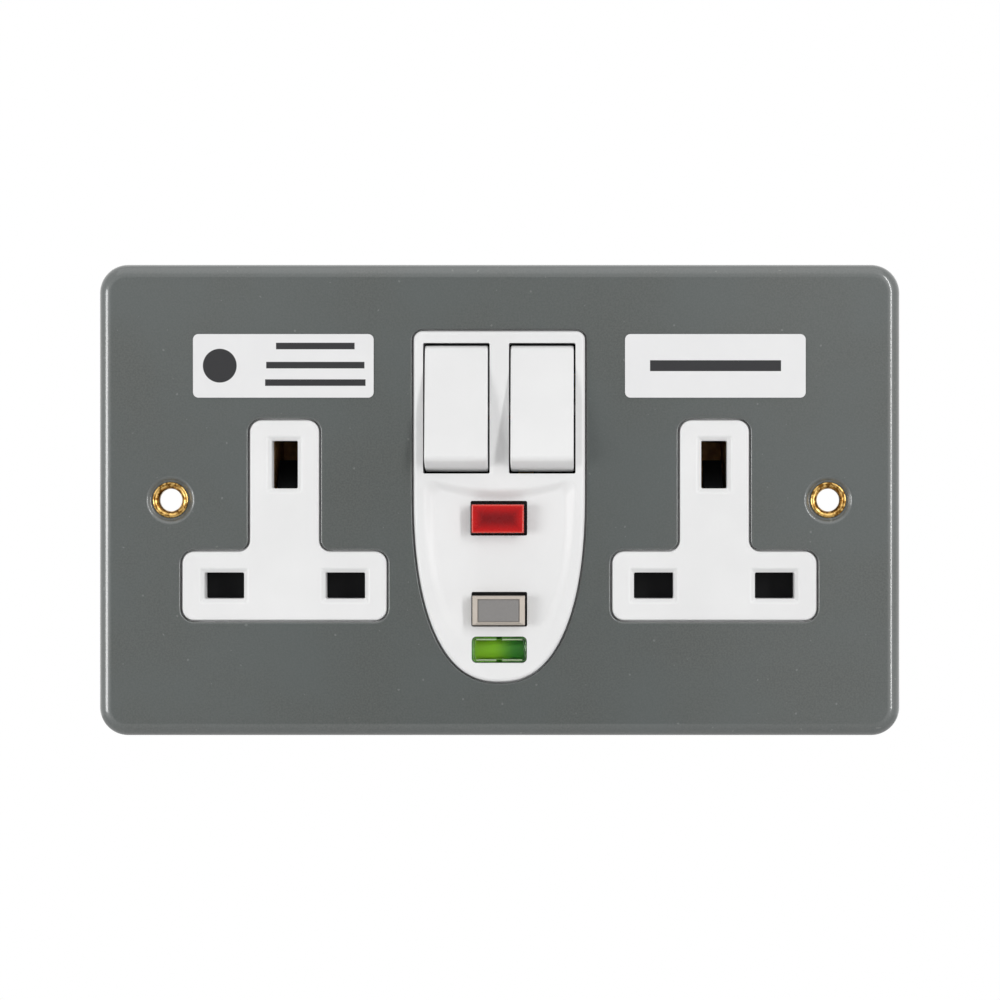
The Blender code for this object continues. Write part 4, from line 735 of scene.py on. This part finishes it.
flag = Finish("indicator_flag")
x, y, z = flag.place()
forward = DRUM_Y - y
below = LENS_WINDOW[1] - z
# painted shade: the green quarter is bright yellow-green on the left and painted darker towards the right
shaded_green = flag.mix(x.ramp(*FLAG_SHADE_FADE), (166, 230, 40), (68, 156, 52))
print_wear = flag.noise(0.0006)
shade = flag.mix((below - abs(forward)).ramp(*FLAG_BLUR), (30, 30, 32), (188, 34, 34))
shade = flag.mix((forward - abs(below)).ramp(*FLAG_BLUR), shade, shaded_green)
flag.set(Base_Color=shade, Roughness=0.35 + 0.15 * print_wear)


def welded(node):
    """A solid's own mesh with its triangles joined and its flat faces whole again."""
    bm = bmesh.new()
    bm.from_mesh(frame["nodes"][node].data)
    bmesh.ops.remove_doubles(bm, verts=bm.verts, dist=TOUCHING)
    bmesh.ops.dissolve_limit(bm, angle_limit=math.radians(1), verts=bm.verts, edges=bm.edges)
    return bm


fit(welded("indicator_drum"), "drum", "indicator_drum", flag, soft=SKIN_EDGE)

# The eyelets: brass tubes whose ends are rolled over in the plate's fixing holes. The front end
# is a rounded funnel for the screw's head, streaked and stained, and the back end is clinched.

EYELET_BORE = 0.002075
EYELET_WALL = 0.00035
EYELET_FLANGE = 0.0033
EYELET_CREST = 0.0026
EYELET_FACE = -0.00895
EYELET_SEAT = -0.0085
EYELET_BACK = -0.0069
EYELET_ROLL = 0.0003
EYELET_RIM = (0.00035, 0.00006)
CLINCH_RADIUS = 0.0028
CLINCH_DEPTH = 0.0004
CLINCH_ROUND = 0.0001
CLINCH_MOUTH = 0.0002

brass = Finish("rolled_brass")
stain = brass.noise(0.0008, 4.0)
scratch = brass.noise(0.0003, 2.0, (1, 0.2, 1))
tone = brass.mix(stain.ramp(0.4, 0.62), (226, 186, 112), (116, 80, 32))
brass.set(
    Base_Color=tone, Metallic=1.0, Roughness=0.2 + 0.2 * stain + 0.08 * scratch,
    Normal=brass.bump(scratch, 0.000004),
)
barrel = EYELET_BORE + EYELET_WALL
section = [
    (EYELET_BORE, EYELET_SEAT + EYELET_ROLL, EYELET_ROLL), (EYELET_CREST, EYELET_FACE, EYELET_ROLL),
    (EYELET_FLANGE, EYELET_FACE, EYELET_RIM[0]), (EYELET_FLANGE, EYELET_SEAT, EYELET_RIM[1]),
    (barrel, EYELET_SEAT, 0.0), (barrel, EYELET_BACK, 0.0),
    (CLINCH_RADIUS, EYELET_BACK, CLINCH_ROUND),
    (CLINCH_RADIUS, EYELET_BACK + CLINCH_DEPTH, CLINCH_ROUND),
    (EYELET_BORE, EYELET_BACK + CLINCH_DEPTH, CLINCH_MOUTH),
]
for side, x in (("left", -FIXING_PLACE), ("right", FIXING_PLACE)):
    eyelet = bmesh.new()
    points = [eyelet.verts.new((x + radius, along, 0)) for radius, along, _ in section]
    eyelet.faces.new(points)
    for point, (_, _, turn) in zip(points, section):
        if turn:
            bmesh.ops.bevel(
                eyelet, geom=[point], offset=turn, affect="VERTICES", segments=6, profile=0.5, material=-1
            )
    bmesh.ops.delete(eyelet, geom=list(eyelet.faces), context="FACES_ONLY")
    bmesh.ops.spin(
        eyelet, geom=[*eyelet.verts, *eyelet.edges], cent=(x, 0, 0), axis=(0, 1, 0), dvec=(0, 0, 0),
        angle=2 * math.pi, steps=72, use_merge=True, use_duplicate=False,
    )
    bmesh.ops.remove_doubles(eyelet, verts=eyelet.verts, dist=TOUCHING)
    bmesh.ops.recalc_face_normals(eyelet, faces=eyelet.faces)
    fit(eyelet, f"{side}_brass_eyelet", f"{side}_eyelet", brass)

# The labels: thin white film on the plate above the outlets, printed with plain bars and a
# plain disc in a soft black.

LABEL_MIDDLE = (0.03957, 0.02457)
LABEL_SIZE = (0.0331, 0.01165)
LABEL_CORNER = 0.001
LABEL_LEVELS = (FRONT - 0.0002, FRONT - 0.00005)
PRINT_BARS = [
    (-0.0337, 0.0282, 0.0072, 0.0006), (-0.0337, 0.0247, 0.0090, 0.0006),
    (-0.0337, 0.0215, 0.0092, 0.0006), (0.0396, 0.0246, 0.0120, 0.0010),
]
PRINT_DISC = (-0.0512, 0.0246, 0.0031)
PRINT_EDGE = 0.00004

film = Finish("label_film")
x, _, z = film.place()
fibre = film.noise(0.0005, 3.0)
wave = film.noise(0.006)
across, up = x - PRINT_DISC[0], z - PRINT_DISC[1]
inked = x.maths("SQRT", across * across + up * up) - PRINT_DISC[2]
for middle, level, half_length, half_height in PRINT_BARS:
    bar = (abs(x - middle) - half_length).most(abs(z - level) - half_height)
    inked = inked.least(bar)
paper = film.mix(wave, (221, 221, 222), (226, 226, 226))
shade = film.mix(inked.ramp(PRINT_EDGE, -PRINT_EDGE), paper, (44, 44, 46))
film.set(Base_Color=shade, Roughness=0.3 + 0.1 * fibre, Normal=film.bump(wave, 0.00001))
for side, sign in (("left", -1), ("right", 1)):
    outline = rectangle(sign * LABEL_MIDDLE[0], LABEL_MIDDLE[1], *LABEL_SIZE, LABEL_CORNER)
    label = prism(outline, *LABEL_LEVELS, arc_steps=8)
    fit(label, f"{side}_film", f"{side}_label", film, soft=0.00003)

# Everything behind the front: the black housing, deck, frame and shutters, brass conductors,
# steel screws and the small parts of the trip. They keep the shapes of their solids. The return
# springs' pieces get meshes of their own.

black = Finish("black_moulding")
texture = black.noise(0.0003)
flow = black.noise(0.012, 3.0)
black.set(
    Base_Color=black.mix(flow, (10, 11, 12), (16, 16, 18)), Roughness=0.48 + 0.16 * texture,
    Specular_IOR_Level=0.15, Normal=black.bump(texture, 0.000012),
)
steel = Finish("zinc_plate")
scuff = steel.noise(0.0008, 3.0)
steel.set(
    Base_Color=steel.mix(scuff, (196, 198, 200), (168, 170, 173)), Metallic=1.0,
    Roughness=0.28 + 0.15 * scuff,
)
strip = Finish("dull_brass_strip")
tarnish = strip.noise(0.002, 3.0)
strip.set(
    Base_Color=strip.mix(tarnish.ramp(0.3, 0.7), (216, 168, 112), (188, 142, 92)), Metallic=0.6,
    Roughness=0.42 + 0.2 * tarnish,
)
board = Finish("solder_resist")
weave = board.noise(0.0006)
board.set(Base_Color=board.mix(weave, (16, 78, 40), (26, 94, 50)), Roughness=0.3 + 0.1 * weave)
ferrite = Finish("ferrite")
pores = ferrite.noise(0.0004)
ferrite.set(
    Base_Color=ferrite.mix(pores, (44, 44, 48), (56, 56, 60)), Roughness=0.6,
    Normal=ferrite.bump(pores, 0.00001),
)
copper = Finish("enamelled_copper")
sheen = copper.noise(0.001)
copper.set(
    Base_Color=copper.mix(sheen, (176, 92, 48), (204, 122, 66)), Metallic=1.0,
    Roughness=0.25 + 0.1 * sheen,
)
dressed = {
    "black_moulding": black, "brass": strip, "spring_steel": steel, "circuit_board": board,
    "ferrite": ferrite, "enamelled_copper": copper,
}
skins = {}
for node, solid in frame["nodes"].items():
    if not solid.hide_render:
        edge = 0.0 if node.endswith(("spring", "winding")) else SKIN_EDGE
        skins[node] = fit(welded(node), f"{node}_skin", node, dressed[slot_of[node]], soft=edge)
for joint in record["behaviour"]["joints"]:
    for spring in joint.get("deforming_nodes", []):
        node, axis = spring["node"], spring["mode"][-1]
        direction = Vector([float(axis == letter) for letter in "xyz"])
        anchor = spring[f"fixed_end_{axis}_m"] * direction
        length = max(abs((Vector(corner) - anchor).dot(direction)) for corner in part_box(node))
        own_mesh(skins[node], joint["name"], direction, anchor, 1 - joint["range_m"][1] / length)

# The stage: a pale floor, and a white surround that only the camera, gloss and glass see at full
# strength. Behind the camera stands a dark card that thins out at its sides and its top, so the
# plate mirrors it in softly changing grey. Three softboxes light the front.

FLOOR_DROP = 0.172
FLOOR_HALF = 0.45
CARD_PLACE = (-0.04, -0.8, -0.14)
CARD_HALF = 0.3
CARD_RIGHT = (0.02, 0.11)
CARD_LEFT = (-0.06, -0.14)
CARD_TOP = (0.03, 0.1)
SURROUND = 0.415
LAMPS = {
    "left_softbox": ((-0.65, -0.45, -0.02), (0.26, 0.34), 2.6),
    "right_softbox": ((0.642, -0.641, 0.24), (0.11, 0.8), 4.6),
    "top_softbox": ((0, -0.35, 0.85), (1.2, 0.9), 2.0),
}

world = bpy.data.worlds.new("studio")
bpy.context.scene.world = world
world.use_nodes = True
tree = world.node_tree
backdrop = tree.nodes["Background"]
backdrop.inputs["Color"].default_value = (1, 1, 1, 1)
path = tree.nodes.new("ShaderNodeLightPath")
seen = path.outputs["Is Camera Ray"]
for ray in ("Is Glossy Ray", "Is Transmission Ray"):
    either = tree.nodes.new("ShaderNodeMath")
    either.operation = "MAXIMUM"
    tree.links.new(seen, either.inputs[0])
    tree.links.new(path.outputs[ray], either.inputs[1])
    seen = either.outputs[0]
strength = tree.nodes.new("ShaderNodeMapRange")
strength.inputs["To Min"].default_value = SURROUND
tree.links.new(seen, strength.inputs["Value"])
tree.links.new(strength.outputs[0], backdrop.inputs["Strength"])


def sheet(name, place, half, finish):
    """A flat square of the studio, given by half its width."""
    bm = bmesh.new()
    bmesh.ops.create_grid(bm, x_segments=1, y_segments=1, size=half, matrix=place)
    made = solid_object(bm)
    made.name = name
    made.data.materials.append(finish.material)
    return made


pale = Finish("pale_floor")
pale.set(Base_Color=colour(240, 240, 240), Roughness=0.8)
dark = Finish("dark_card")
x, _, z = dark.place()
thin = 0.44 * x.ramp(*CARD_RIGHT) + 0.25 * x.ramp(*CARD_LEFT) + 0.25 * z.ramp(*CARD_TOP)
dark.set(Base_Color=colour(40, 40, 40), Roughness=0.9, Alpha=1 - thin)
sheet("floor", Matrix.Translation((0, 0, -FLOOR_DROP)), FLOOR_HALF, pale)
upright = Matrix.Translation(CARD_PLACE) @ Matrix.Rotation(-math.pi / 2, 4, "X")
sheet("card", upright, CARD_HALF, dark).visible_camera = False


def softbox(name, place, size, power):
    """A rectangular lamp of a width and height, in watts, that faces the socket's middle."""
    light = bpy.data.lights.new(name, "AREA")
    light.shape = "RECTANGLE"
    light.size, light.size_y = size
    light.energy = power
    lamp = bpy.data.objects.new(name, light)
    lamp.location = place
    lamp.rotation_euler = (-Vector(place)).to_track_quat("-Z", "Y").to_euler()
    bpy.context.scene.collection.objects.link(lamp)


for name, (place, size, power) in LAMPS.items():
    softbox(name, place, size, power)

# The camera looks straight at the front from 0.6 m away, a little to the right of the middle,
# and its lens is shifted so that the socket stays in the middle of the picture.

CAMERA_PLACE = (0.0156, -0.609, 0)
CAMERA_LENS = 117.9
CAMERA_SHIFT = -0.0845
SENSOR_WIDTH = 36

optics = bpy.data.cameras.new("camera")
optics.lens = CAMERA_LENS
optics.sensor_width = SENSOR_WIDTH
optics.shift_x = CAMERA_SHIFT
camera = bpy.data.objects.new("camera", optics)
camera.location = CAMERA_PLACE
camera.rotation_euler = (math.pi / 2, 0, 0)
bpy.context.scene.collection.objects.link(camera)
bpy.context.scene.camera = camera
bpy.context.scene.view_settings.view_transform = "Standard"
